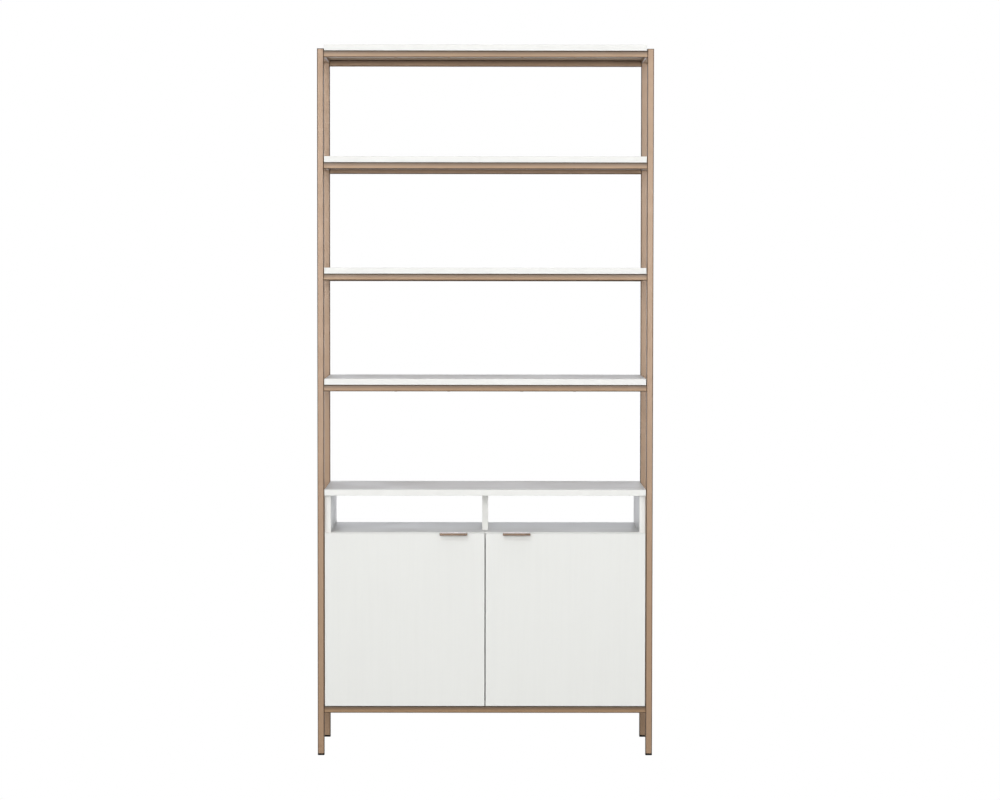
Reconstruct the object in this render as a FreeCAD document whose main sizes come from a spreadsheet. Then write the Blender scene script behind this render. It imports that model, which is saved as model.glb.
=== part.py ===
import FreeCAD, Part
import math
import os
import Sketcher
from FreeCAD import Rotation, Vector

# Modular bookcase: a tall frame of square metal tube that carries four open shelves, and under them a
# white cabinet with an open cubby in two bays and a cupboard with two doors.
# X runs to the right, Y to the back and Z up. The origin is at the middle of the whole piece, on the floor.
# All sizes are in millimetres.

doc = FreeCAD.newDocument("ModularBookcase")

# Driving sizes
SIZES = [
    # The frame of square tube
    ("frame_width", 1010, "over the outer faces of the posts"),
    ("frame_depth", 400, "from the front to the rear of the posts"),
    ("overall_height", 2140, "floor to the top of the highest shelf"),
    ("tube", 20, "side of the square tube"),
    ("tube_wall", 1.2, "wall of the tube"),
    ("tube_corner", 2, "outer corner radius of the tube"),
    ("cabinet_height", 804, "floor to the top of the cabinet"),
    ("post_drop", 12, "post tops below the top of the highest shelf"),
    ("base_height", 128, "floor to the underside of the lowest rails"),
    ("rail_setback", 4, "front rails behind the front of the posts"),
    ("stub_length", 25, "how far a stub on a post reaches into its rail"),
    ("stub_gap", 0.1, "clearance of a stub in its rail, each side"),
    ("lug_thickness", 3, "lugs behind the lowest front rail"),
    ("lug_width", 24, "width of a lug"),
    ("lug_reach", 20, "how far a lug stands behind its rail"),
    ("cap_thickness", 1.5, "cap on a post"),
    ("cap_plug", 9, "how far a cap reaches into its post"),
    ("foot_height", 6, "foot glide under a post"),
    ("foot_plug", 14, "how far a glide reaches into its post"),
    ("plug_gap", 0.1, "clearance of a plug in its tube, each side"),
    # The open shelves
    ("shelf_board", 22, "shelf thickness"),
    ("shelf_rebate", 4, "step under the front edge that drops over the front rail"),
    ("shelf_side_gap", 1, "between a board and the posts"),
    ("rebate_gap", 0.5, "between the step and the back of the rail"),
    ("edge_radius", 0.8, "rounding of the edge banding"),
    # The cabinet
    ("panel", 18, "cabinet panel thickness"),
    ("cubby_height", 111.5, "clear height of the open cubby"),
    ("divider_setback", 110, "front of the divider behind the front of the posts"),
    ("back_panel", 5, "thickness of the cupboard's back"),
    ("back_setback", 12, "back panel in front of the rear edges"),
    ("back_groove", 7, "depth of the groove that holds the back panel"),
    ("back_fit", 0.3, "clearance of the back panel in its groove"),
    ("inner_shelf", 16, "thickness of the loose shelf in the cupboard"),
    ("inner_shelf_setback", 30, "loose shelf behind the front edges of the carcass"),
    ("inner_shelf_gap", 2, "loose shelf to the panel at each end and to the back"),
    ("pin_hole", 5, "diameter of the holes for shelf pins"),
    ("pin_hole_depth", 10, "depth of those holes"),
    ("pin_inset", 50, "pin holes from the front and rear edges of the loose shelf"),
    ("pin_fit", 0.1, "clearance of a pin in its hole, on the radius"),
    ("pin_peg", 9, "how far a pin stands out under the shelf"),
    ("seat_gap", 0.1, "play between the loose shelf and its pins"),
    # The doors
    ("door_thickness", 18, "door thickness"),
    ("door_side_gap", 2, "between a door and its post"),
    ("door_middle_gap", 3, "between the two doors"),
    ("door_bottom_gap", 1.5, "between a door and the lowest rail"),
    ("door_top_gap", 2, "top of a door below the top of the cubby floor"),
    ("door_back_gap", 2.5, "between a door and the carcass"),
    ("bumper", 2.2, "thickness of a door bumper"),
    ("bumper_side", 8, "side of a square door bumper"),
    ("bumper_from_middle", 25, "bumpers to each side of the middle"),
    # The finger pulls
    ("pull_width", 83, "length of a pull along the door"),
    ("pull_from_edge", 52, "pull to the free edge of its door"),
    ("pull_reach", 20, "how far a pull stands in front of its door"),
    ("pull_lip", 7, "height of the lip"),
    ("pull_sheet", 1.5, "sheet thickness"),
    ("pull_bend", 1.2, "outer radius of the folds"),
    ("pull_flange", 26, "leaf behind the door"),
    # The concealed hinges, measured from the outer front corner of the door
    ("hinge_end_distance", 90, "hinge to the top or bottom of its door"),
    ("cup_diameter", 35, "hinge cup"),
    ("cup_depth", 12.3, "how far the cup reaches into the door"),
    ("cup_bore_gap", 0.2, "clearance of the cup in its bore"),
    ("cup_wall", 1, "wall and floor of the cup"),
    ("cup_inset", 22.5, "cup centre in from the edge of the door"),
    ("ear_thickness", 1.2, "thickness of the ears on the door"),
    ("ear_offset", 9.5, "ears further in than the cup centre"),
    ("ear_span", 58, "over both ears"),
    ("ear_width", 13, "width of an ear"),
    ("pivot_inward", 12, "pivot pin in from the edge of the door"),
    ("pivot_back", 11, "pivot pin behind the front of the door"),
    ("pivot_pin", 3, "pivot pin diameter"),
    ("pivot_fit", 0.05, "clearance of the link on the pin, on the radius"),
    ("link_sheet", 3, "thickness of the link"),
    ("link_width", 8, "width of the link along the pin"),
    ("link_bend_inward", 11, "bend of the link in from the pivot pin"),
    ("link_bend_back", 1, "bend of the link behind the pivot pin"),
    ("link_end_inward", 9.3, "end of the link in from the pivot pin"),
    ("link_end_back", 22, "end of the link behind the pivot pin"),
    ("arm_channel", 10, "clear width of the arm's channel"),
    ("arm_sheet", 1.2, "sheet thickness of the arm"),
    ("arm_height", 15, "height of the arm on its plate"),
    ("arm_nose_back", 9, "nose of the arm behind the front of the door"),
    ("arm_nose_length", 3, "square end of the nose"),
    ("arm_nose_depth", 7.5, "depth of the nose across the cup"),
    ("arm_throat_back", 24, "where the arm's full height starts"),
    ("arm_end_back", 80, "end of the arm behind the front of the door"),
    ("plate_thickness", 2.5, "mounting plate on the side panel"),
    ("wing_back", 57.5, "wings of the plate behind the front of the door"),
    ("wing_span", 44, "over both wings"),
    ("wing_width", 12, "width of a wing"),
    # The fasteners
    ("bolt_diameter", 6, "frame bolt across its flats"),
    ("bolt_length", 12, "length of a frame bolt"),
    ("bolt_gap", 0.15, "clearance round a bolt or screw, each side"),
    ("screw_diameter", 4, "wood screw across its flats"),
    ("screw_head", 11, "wood screw's head across its flats"),
    ("screw_head_height", 2.6, "height of that head"),
    ("screw_bite", 12, "wood screw's length in the board"),
    ("screw_inner", 110, "inner shelf screws to each side of the middle"),
    ("screw_end", 216, "outer shelf screws from the end of the rail"),
    ("hole_runout", 1, "blind holes beyond the end of their screw"),
]

sheet = doc.addObject("Spreadsheet::Sheet", "Sizes")
for row, (alias, size, meaning) in enumerate(SIZES, start=1):
    sheet.set("A%d" % row, meaning)
    sheet.set("B%d" % row, str(size))
    sheet.setAlias("B%d" % row, alias)
doc.recompute()

SHELF_COUNT = 4
LEFT, RIGHT = -1, 1

# Places worked out from the driving sizes, as expressions on the sheet
FRONT = "((Sizes.pull_reach - Sizes.frame_depth) / 2)"
REAR = "((Sizes.pull_reach + Sizes.frame_depth) / 2)"
MIDDLE_Y = "(Sizes.pull_reach / 2)"
INNER_WIDTH = "(Sizes.frame_width - 2 * Sizes.tube)"
POST_X = "((Sizes.frame_width - Sizes.tube) / 2)"
POST_FRONT_Y = "(%s + Sizes.tube / 2)" % FRONT
POST_REAR_Y = "(%s - Sizes.tube / 2)" % REAR
POST_TOP = "(Sizes.overall_height - Sizes.post_drop)"
POST_LENGTH = "(%s - Sizes.cap_thickness - Sizes.foot_height)" % POST_TOP
RAIL_FRONT_Y = "(%s + Sizes.rail_setback)" % POST_FRONT_Y
BOTTOM_RAIL_Z = "(Sizes.base_height + Sizes.tube / 2)"
TUBE_BORE = "(Sizes.tube - 2 * Sizes.tube_wall)"
STUB_SIDE = "(%s - 2 * Sizes.stub_gap)" % TUBE_BORE
PLUG_SIDE = "(%s - 2 * Sizes.plug_gap)" % TUBE_BORE
STUB_X = "((%s - Sizes.stub_length) / 2)" % INNER_WIDTH
BOARD_WIDTH = "(%s - 2 * Sizes.shelf_side_gap)" % INNER_WIDTH
CARCASS_BOTTOM = "(Sizes.base_height + Sizes.tube)"
CARCASS_TOP = "(Sizes.cabinet_height - Sizes.panel)"
FLOOR_TOP = "(%s - Sizes.cubby_height)" % CARCASS_TOP
FLOOR_UNDERSIDE = "(%s - Sizes.panel)" % FLOOR_TOP
BOTTOM_TOP = "(%s + Sizes.panel)" % CARCASS_BOTTOM
CARCASS_SETBACK = "(Sizes.door_thickness + Sizes.door_back_gap)"
CARCASS_FRONT = "(%s + %s)" % (FRONT, CARCASS_SETBACK)
CARCASS_DEPTH = "(Sizes.frame_depth - %s)" % CARCASS_SETBACK
CARCASS_INNER = "(%s - 2 * Sizes.panel)" % BOARD_WIDTH
GROOVE_WIDTH = "(Sizes.back_panel + 2 * Sizes.back_fit)"
GROOVE_CENTRE = "(%s - Sizes.back_setback - Sizes.back_panel / 2)" % CARCASS_DEPTH
GROOVE_REACH = "(Sizes.back_groove - Sizes.back_fit)"
DOOR_BOTTOM = "(%s + Sizes.door_bottom_gap)" % CARCASS_BOTTOM
DOOR_TOP = "(%s - Sizes.door_top_gap)" % FLOOR_TOP
DOOR_HEIGHT = "(%s - %s)" % (DOOR_TOP, DOOR_BOTTOM)
DOOR_EDGE_X = "(%s / 2 - Sizes.door_side_gap)" % INNER_WIDTH
DOOR_WIDTH = "(%s - Sizes.door_middle_gap / 2)" % DOOR_EDGE_X
DOOR_BACK = "(%s + Sizes.door_thickness)" % FRONT
HINGE_Z = ["(%s + Sizes.hinge_end_distance)" % DOOR_BOTTOM, "(%s - Sizes.hinge_end_distance)" % DOOR_TOP]
PULL_X = "(Sizes.door_middle_gap / 2 + Sizes.pull_from_edge + Sizes.pull_width / 2)"
PANEL_FACE_INWARD = "(Sizes.panel + Sizes.shelf_side_gap - Sizes.door_side_gap)"
PLATE_FACE_INWARD = "(%s + Sizes.plate_thickness)" % PANEL_FACE_INWARD
ARM_TOP_INWARD = "(%s + Sizes.arm_height)" % PLATE_FACE_INWARD
ARM_WIDTH = "(Sizes.arm_channel + 2 * Sizes.arm_sheet)"
CUP_BORE = "(Sizes.cup_diameter + 2 * Sizes.cup_bore_gap)"
EAR_INWARD = "(Sizes.cup_inset + Sizes.ear_offset)"
BOLT_HOLE = "(Sizes.bolt_diameter + 2 * Sizes.bolt_gap)"
SCREW_HOLE = "(Sizes.screw_diameter + 2 * Sizes.bolt_gap)"
SCREW_LENGTH = "(Sizes.tube + Sizes.screw_bite)"
LUG_SCREW_LENGTH = "(Sizes.lug_thickness + Sizes.screw_bite)"
PILOT_DEPTH = "(Sizes.screw_bite + Sizes.hole_runout)"
BOLT_SEAT = "(Sizes.bolt_length - Sizes.tube_wall - Sizes.stub_gap)"
LUG_SCREW_BACK = "(Sizes.rail_setback + Sizes.tube + Sizes.lug_reach / 2)"
INNER_SHELF_DEPTH = ("(%s - Sizes.back_panel / 2 - Sizes.inner_shelf_gap - Sizes.inner_shelf_setback)"
                     % GROOVE_CENTRE)
PIN_Z = "((%s + %s) / 2)" % (BOTTOM_TOP, FLOOR_UNDERSIDE)
PIN_RADIUS = "(Sizes.pin_hole / 2 - Sizes.pin_fit)"
PIN_BACK = ["(Sizes.inner_shelf_setback + Sizes.pin_inset)",
            "(Sizes.inner_shelf_setback + %s - Sizes.pin_inset)" % INNER_SHELF_DEPTH]
OUTER_SCREWS = ["(%s / 2 - Sizes.screw_end)" % INNER_WIDTH, "(Sizes.screw_end - %s / 2)" % INNER_WIDTH]
ALL_SCREWS = OUTER_SCREWS + ["(Sizes.screw_inner)", "(-Sizes.screw_inner)"]

SHELF_PITCH = "((Sizes.overall_height - Sizes.cabinet_height) / %d)" % SHELF_COUNT
SHELF_TOPS = ["(Sizes.overall_height - %d * %s)" % (level, SHELF_PITCH) for level in range(SHELF_COUNT)]
FRONT_RAILS = ["(%s - Sizes.shelf_board + Sizes.shelf_rebate - Sizes.tube / 2)" % top for top in SHELF_TOPS]
REAR_RAILS = ["(%s - Sizes.shelf_board - Sizes.tube / 2)" % top for top in SHELF_TOPS]
CROSSBARS = ["(%s - Sizes.post_drop - Sizes.tube / 2)" % top for top in SHELF_TOPS] + [BOTTOM_RAIL_Z]
# Two values closer than this, in millimetres, are the same place
SAME_PLACE = 0.01


def signed(direction, expression):
    return "%d * %s" % (direction, expression)


def side_name(side):
    return "left" if side == LEFT else "right"


def value(expression):
    """The number that an expression on the sheet gives now."""
    return float(sheet.evalExpression(expression))


# Sketches and features
def new_body(name):
    body = doc.addObject("PartDesign::Body", name)
    body.Label = name
    return body


def new_sketch(body, name, role, offset=None):
    """A sketch on one of the body's own origin planes, moved along its normal by an expression."""
    plane = [feature for feature in body.Origin.OriginFeatures if feature.Role == role][0]
    sketch = body.newObject("Sketcher::SketchObject", "%s_%s" % (body.Name, name))
    sketch.AttachmentSupport = [(plane, "")]
    sketch.MapMode = "FlatFace"
    if offset is not None:
        sketch.setExpression(".AttachmentOffset.Base.z", offset)
    return sketch


def bind(sketch, kind, elements, expression):
    """Adds a dimension to a sketch and ties it to an expression."""
    index = sketch.addConstraint(Sketcher.Constraint(kind, *elements, value(expression)))
    sketch.setExpression("Constraints[%d]" % index, expression)


def add_polygon(sketch, points):
    """A closed outline whose corners are pairs of expressions."""
    corners = [Vector(value(x), value(y), 0) for x, y in points]
    first = sketch.GeometryCount
    count = len(corners)
    for index, corner in enumerate(corners):
        sketch.addGeometry(Part.LineSegment(corner, corners[(index + 1) % count]), False)
    for index, (x, y) in enumerate(points):
        line = first + index
        sketch.addConstraint(Sketcher.Constraint("Coincident", line, 2, first + (index + 1) % count, 1))
        bind(sketch, "DistanceX", (-1, 1, line, 1), x)
        bind(sketch, "DistanceY", (-1, 1, line, 1), y)


def add_rectangle(sketch, x, y, width, height):
    """A rectangle from its centre and its size."""
    left, right = "%s - %s / 2" % (x, width), "%s + %s / 2" % (x, width)
    low, high = "%s - %s / 2" % (y, height), "%s + %s / 2" % (y, height)
    add_polygon(sketch, [(left, low), (right, low), (right, high), (left, high)])


def add_circle(sketch, x, y, diameter):
    centre = Vector(value(x), value(y), 0)
    shape = Part.Circle(centre, Vector(0, 0, 1), value(diameter) / 2)
    circle = sketch.addGeometry(shape, False)
    bind(sketch, "DistanceX", (-1, 1, circle, 3), x)
    bind(sketch, "DistanceY", (-1, 1, circle, 3), y)
    bind(sketch, "Diameter", (circle,), diameter)


def add_hexagon(sketch, x, y, across):
    """A regular hexagon from its centre and its width across the flats."""
    corner, half = "%s / sqrt(3)" % across, "%s / 2" % across
    turns = [(1, 0), (0.5, 1), (-0.5, 1), (-1, 0), (-0.5, -1), (0.5, -1)]
    add_polygon(sketch, [("%s + %s * %s" % (x, right, corner), "%s + %s * %s" % (y, up, half))
                         for right, up in turns])


def add_rounded_square(sketch, side, corner):
    """A square with round corners, centred on the sketch's origin."""
    half, radius = value(side) / 2, value(corner)
    flat = half - radius
    lines = []
    arcs = []
    for quarter in range(4):
        turn = Rotation(Vector(0, 0, 1), 90 * quarter)
        start = turn.multVec(Vector(-flat, -half, 0))
        end = turn.multVec(Vector(flat, -half, 0))
        centre = turn.multVec(Vector(flat, -flat, 0))
        begin = (quarter - 1) * math.pi / 2
        full = Part.Circle(centre, Vector(0, 0, 1), radius)
        lines.append(sketch.addGeometry(Part.LineSegment(start, end), False))
        arcs.append(sketch.addGeometry(Part.ArcOfCircle(full, begin, begin + math.pi / 2), False))
    for quarter in range(4):
        sketch.addConstraint(Sketcher.Constraint("Tangent", lines[quarter], 2, arcs[quarter], 1))
        sketch.addConstraint(Sketcher.Constraint("Tangent", arcs[quarter], 2, lines[(quarter + 1) % 4], 1))
    for quarter in (0, 2):
        sketch.addConstraint(Sketcher.Constraint("Horizontal", lines[quarter]))
        sketch.addConstraint(Sketcher.Constraint("Vertical", lines[quarter + 1]))
    for quarter in (1, 2, 3):
        sketch.addConstraint(Sketcher.Constraint("Equal", arcs[0], arcs[quarter]))
    sketch.addConstraint(Sketcher.Constraint("Symmetric", arcs[0], 3, arcs[2], 3, -1, 1))
    bind(sketch, "DistanceX", (lines[3], 1, lines[1], 1), side)
    bind(sketch, "DistanceY", (lines[0], 1, lines[2], 1), side)
    bind(sketch, "Radius", (arcs[0],), corner)


def add_pad(body, sketch, length, along_normal=True, symmetric=False):
    pad = body.newObject("PartDesign::Pad", sketch.Name + "_pad")
    pad.Profile = sketch
    pad.setExpression("Length", length)
    pad.Reversed = not along_normal
    if symmetric:
        pad.SideType = "Symmetric"
    return pad


def add_pocket(body, sketch, length, along_normal=False, symmetric=False):
    """A cut of a given depth, or of a given length about the sketch's plane."""
    pocket = body.newObject("PartDesign::Pocket", sketch.Name + "_cut")
    pocket.Profile = sketch
    pocket.setExpression("Length", length)
    pocket.Reversed = along_normal
    if symmetric:
        pocket.SideType = "Symmetric"
    return pocket


def edge_names(body, test):
    """Names of the edges of the body's last feature whose two ends both pass a test."""
    doc.recompute()
    names = []
    for index, edge in enumerate(body.Tip.Shape.Edges, start=1):
        if all(test(vertex.Point) for vertex in edge.Vertexes):
            names.append("Edge%d" % index)
    return names


def round_edges(body, test, radius="Sizes.edge_radius"):
    names = edge_names(body, test)
    base = body.Tip
    fillet = body.newObject("PartDesign::Fillet", body.Name + "_rounding")
    fillet.Base = (base, names)
    fillet.setExpression("Radius", radius)


def near(first, second):
    return abs(first - second) < SAME_PLACE


def place(piece, x="0", y="0", z="0"):
    piece.setExpression(".Placement.Base.x", x)
    piece.setExpression(".Placement.Base.y", y)
    piece.setExpression(".Placement.Base.z", z)


def round_bar(name, diameter, start, length):
    """A plain cylinder along Z from a given height."""
    body = new_body(name)
    section = new_sketch(body, "section", "XY_Plane", offset=start)
    add_circle(section, "0", "0", diameter)
    add_pad(body, section, length)
    return body


def group(name, copies):
    """One node of like pieces: each copy is a master, its rotation and its place."""
    links = []
    for index, (master, rotation, x, y, z) in enumerate(copies, start=1):
        link = doc.addObject("App::Link", "%s_%d" % (name, index))
        link.LinkedObject = master
        link.Placement.Rotation = rotation
        place(link, x, y, z)
        links.append(link)
    compound = doc.addObject("Part::Compound", name)
    compound.Label = name
    compound.Links = links
    return compound


# Square tubes: round corners outside and a plain square bore
def add_tube_section(sketch):
    add_rounded_square(sketch, "Sizes.tube", "Sizes.tube_corner")
    add_rectangle(sketch, "0", "0", TUBE_BORE, TUBE_BORE)


def make_post(side, position, y):
    """A post stands on its glide."""
    body = new_body("post_%s_%s" % (position, side_name(side)))
    section = new_sketch(body, "section", "XY_Plane")
    add_tube_section(section)
    add_pad(body, section, POST_LENGTH)
    place(body, signed(side, POST_X), y, "Sizes.foot_height")
    return body


def make_crossbar(side, number, z):
    """A short tube welded between the front and the rear post of a side."""
    body = new_body("crossbar_%s_%d" % (side_name(side), number))
    section = new_sketch(body, "section", "XZ_Plane")
    add_tube_section(section)
    add_pad(body, section, "Sizes.frame_depth - 2 * Sizes.tube", symmetric=True)
    place(body, signed(side, POST_X), MIDDLE_Y, z)
    return body


def make_rail(name, y, z, screws):
    """A tube that slides over a stub at each end and is clamped there by a bolt from below."""
    body = new_body(name)
    section = new_sketch(body, "section", "YZ_Plane")
    add_tube_section(section)
    add_pad(body, section, INNER_WIDTH, symmetric=True)
    bolts = new_sketch(body, "bolt_holes", "XY_Plane")
    for side in (LEFT, RIGHT):
        add_hexagon(bolts, signed(side, STUB_X), "0", BOLT_HOLE)
    add_pocket(body, bolts, "Sizes.tube")
    if screws:
        holes = new_sketch(body, "screw_holes", "XY_Plane")
        for x in screws:
            add_hexagon(holes, x, "0", SCREW_HOLE)
        add_pocket(body, holes, "Sizes.tube + 2 * Sizes.tube_wall", symmetric=True)
    place(body, "0", y, z)
    return body


def make_stub():
    """A short square bar, welded to the inner face of a post and bored from below for the frame bolt."""
    body = new_body("stub")
    section = new_sketch(body, "section", "YZ_Plane")
    add_rectangle(section, "0", "0", STUB_SIDE, STUB_SIDE)
    add_pad(body, section, "Sizes.stub_length", symmetric=True)
    bore = new_sketch(body, "bore", "XY_Plane", offset="-%s / 2" % STUB_SIDE)
    add_hexagon(bore, "0", "0", BOLT_HOLE)
    add_pocket(body, bore, BOLT_SEAT, along_normal=True)
    return body


def add_lugs(rail):
    """Lugs welded behind the lowest front rail: the cabinet's front stands on them and is screwed down."""
    lugs = new_sketch(rail, "lugs", "XY_Plane", offset="Sizes.tube / 2")
    reach = "(Sizes.lug_reach + Sizes.tube_wall)"
    middle = "(Sizes.tube / 2 + Sizes.lug_reach / 2)"
    for x in ALL_SCREWS:
        add_rectangle(lugs, x, "(%s - Sizes.tube_wall / 2)" % middle, "Sizes.lug_width", reach)
    add_pad(rail, lugs, "Sizes.lug_thickness", along_normal=False)
    holes = new_sketch(rail, "lug_holes", "XY_Plane", offset="Sizes.tube / 2")
    for x in ALL_SCREWS:
        add_hexagon(holes, x, middle, SCREW_HOLE)
    add_pocket(rail, holes, "2 * Sizes.lug_thickness")


# Caps and glides: a square plate with a plug that fills the end of the tube
def plate_and_plug(name, thickness, plug):
    """The plate lies above the XY plane and the plug hangs under it."""
    body = new_body(name)
    plate = new_sketch(body, "plate", "XY_Plane")
    add_rounded_square(plate, "Sizes.tube", "Sizes.tube_corner")
    add_pad(body, plate, thickness)
    stem = new_sketch(body, "plug", "XY_Plane")
    add_rectangle(stem, "0", "0", PLUG_SIDE, PLUG_SIDE)
    add_pad(body, stem, plug, along_normal=False)
    return body


def make_glide(side, position, y):
    body = plate_and_plug("glide_%s_%s" % (position, side_name(side)), "Sizes.foot_height", "Sizes.foot_plug")
    body.Placement.Rotation = Rotation(Vector(1, 0, 0), 180)
    place(body, signed(side, POST_X), y, "Sizes.foot_height")
    return body


# Shelf boards: a step under the front edge drops over the front rail, so the board can't slide forward
def make_shelf(number, top):
    body = new_body("shelf_board_%d" % number)
    step = "(Sizes.rail_setback + Sizes.tube + Sizes.rebate_gap)"
    profile = new_sketch(body, "profile", "YZ_Plane")
    add_polygon(profile, [
        ("0", "Sizes.shelf_rebate"),
        (step, "Sizes.shelf_rebate"),
        (step, "0"),
        ("Sizes.frame_depth", "0"),
        ("Sizes.frame_depth", "Sizes.shelf_board"),
        ("0", "Sizes.shelf_board"),
    ])
    add_pad(body, profile, BOARD_WIDTH, symmetric=True)
    row = "(Sizes.rail_setback + Sizes.tube / 2)"
    add_pilot_holes(body, "front", ALL_SCREWS, row, "Sizes.shelf_rebate + %s" % PILOT_DEPTH)
    round_edges(body, lambda point: near(point.y, 0))
    place(body, "0", FRONT, "%s - Sizes.shelf_board" % top)
    return body


def add_pilot_holes(body, name, places, y, depth):
    """Blind holes from below for screws that come up through a rail or a lug."""
    holes = new_sketch(body, "pilot_holes_" + name, "XY_Plane")
    for x in places:
        add_hexagon(holes, x, y, SCREW_HOLE)
    add_pocket(body, holes, depth, along_normal=True)


# Cabinet: a top, two sides, a cubby floor and a bottom, all of one board thickness
def make_cabinet_top():
    body = new_body("cabinet_top")
    outline = new_sketch(body, "outline", "XY_Plane")
    add_rectangle(outline, "0", "Sizes.frame_depth / 2", BOARD_WIDTH, "Sizes.frame_depth")
    add_pad(body, outline, "Sizes.panel")
    round_edges(body, lambda point: near(point.y, 0))
    place(body, "0", FRONT, CARCASS_TOP)
    return body


def make_side_panel(side):
    """The YZ plane is the panel's inner face, and the board lies outwards from it."""
    body = new_body("side_panel_" + side_name(side))
    outwards = side == RIGHT
    height = "(%s - %s)" % (CARCASS_TOP, CARCASS_BOTTOM)
    outline = new_sketch(body, "outline", "YZ_Plane")
    add_rectangle(outline, "%s / 2" % CARCASS_DEPTH, "%s / 2" % height, CARCASS_DEPTH, height)
    add_pad(body, outline, "Sizes.panel", along_normal=outwards)
    groove = new_sketch(body, "back_groove", "YZ_Plane")
    groove_height = "(%s - %s + Sizes.back_groove)" % (FLOOR_UNDERSIDE, CARCASS_BOTTOM)
    add_rectangle(groove, GROOVE_CENTRE, "%s / 2" % groove_height, GROOVE_WIDTH, groove_height)
    add_pocket(body, groove, "Sizes.back_groove", along_normal=outwards)
    pins = new_sketch(body, "pin_holes", "YZ_Plane")
    for back in PIN_BACK:
        add_circle(pins, back, "%s - %s" % (PIN_Z, CARCASS_BOTTOM), "Sizes.pin_hole")
    add_pocket(body, pins, "Sizes.pin_hole_depth", along_normal=outwards)
    round_edges(body, lambda point: near(point.y, 0))
    place(body, signed(side, "%s / 2" % CARCASS_INNER), CARCASS_FRONT, CARCASS_BOTTOM)
    return body


def inner_board(name, z, groove_below):
    """A board between the side panels, with the back panel's groove in its lower or upper face."""
    body = new_body(name)
    outline = new_sketch(body, "outline", "XY_Plane")
    add_rectangle(outline, "0", "%s / 2" % CARCASS_DEPTH, CARCASS_INNER, CARCASS_DEPTH)
    add_pad(body, outline, "Sizes.panel")
    groove = new_sketch(body, "back_groove", "XY_Plane", offset="0" if groove_below else "Sizes.panel")
    add_rectangle(groove, "0", GROOVE_CENTRE, CARCASS_INNER, GROOVE_WIDTH)
    add_pocket(body, groove, "Sizes.back_groove", along_normal=groove_below)
    place(body, "0", CARCASS_FRONT, z)
    return body


def make_cubby_floor():
    body = inner_board("cubby_floor", FLOOR_UNDERSIDE, groove_below=True)
    round_edges(body, lambda point: near(point.y, 0))
    return body


def make_cabinet_bottom():
    body = inner_board("cabinet_bottom", CARCASS_BOTTOM, groove_below=False)
    add_pilot_holes(body, "front", ALL_SCREWS, "(%s - %s)" % (LUG_SCREW_BACK, CARCASS_SETBACK), PILOT_DEPTH)
    add_pilot_holes(body, "rear", OUTER_SCREWS, "(%s - Sizes.tube / 2)" % CARCASS_DEPTH, PILOT_DEPTH)
    round_edges(body, lambda point: near(point.y, 0))
    return body


def make_divider():
    body = new_body("cubby_divider")
    depth = "(Sizes.frame_depth - Sizes.divider_setback)"
    outline = new_sketch(body, "outline", "XY_Plane")
    add_rectangle(outline, "0", "%s / 2" % depth, "Sizes.panel", depth)
    add_pad(body, outline, "Sizes.cubby_height")
    round_edges(body, lambda point: near(point.y, 0))
    place(body, "0", "%s + Sizes.divider_setback" % FRONT, FLOOR_TOP)
    return body


def make_back_panel():
    body = new_body("back_panel")
    height = "(%s - %s + 2 * %s)" % (FLOOR_UNDERSIDE, BOTTOM_TOP, GROOVE_REACH)
    outline = new_sketch(body, "outline", "XY_Plane")
    add_rectangle(outline, "0", "0", "(%s + 2 * %s)" % (CARCASS_INNER, GROOVE_REACH), "Sizes.back_panel")
    add_pad(body, outline, height)
    place(body, "0", "%s + %s" % (CARCASS_FRONT, GROOVE_CENTRE), "%s - %s" % (BOTTOM_TOP, GROOVE_REACH))
    return body


def make_inner_shelf():
    body = new_body("inner_shelf")
    width = "(%s - 2 * Sizes.inner_shelf_gap)" % CARCASS_INNER
    outline = new_sketch(body, "outline", "XY_Plane")
    add_rectangle(outline, "0", "%s / 2" % INNER_SHELF_DEPTH, width, INNER_SHELF_DEPTH)
    add_pad(body, outline, "Sizes.inner_shelf")
    round_edges(body, lambda point: near(point.y, 0))
    underside = "%s + %s + Sizes.seat_gap" % (PIN_Z, PIN_RADIUS)
    place(body, "0", "%s + Sizes.inner_shelf_setback" % CARCASS_FRONT, underside)
    return body


# Doors: flat boards in front of the carcass, bored behind for the hinge cups
def make_door(side):
    """The XZ plane is the door's front, and X is measured from its outer edge."""
    body = new_body("door_" + side_name(side))
    inward = -side
    outline = new_sketch(body, "outline", "XZ_Plane")
    add_rectangle(outline, signed(inward, "%s / 2" % DOOR_WIDTH), "%s / 2" % DOOR_HEIGHT,
                  DOOR_WIDTH, DOOR_HEIGHT)
    add_pad(body, outline, "Sizes.door_thickness", along_normal=False)
    cups = new_sketch(body, "cup_bores", "XZ_Plane", offset="-Sizes.door_thickness")
    for z in HINGE_Z:
        add_circle(cups, signed(inward, "Sizes.cup_inset"), "%s - %s" % (z, DOOR_BOTTOM), CUP_BORE)
    add_pocket(body, cups, "Sizes.cup_depth + Sizes.cup_bore_gap", along_normal=True)
    round_edges(body, lambda point: near(point.y, 0))
    place(body, signed(side, DOOR_EDGE_X), FRONT, DOOR_BOTTOM)
    return body


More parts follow.
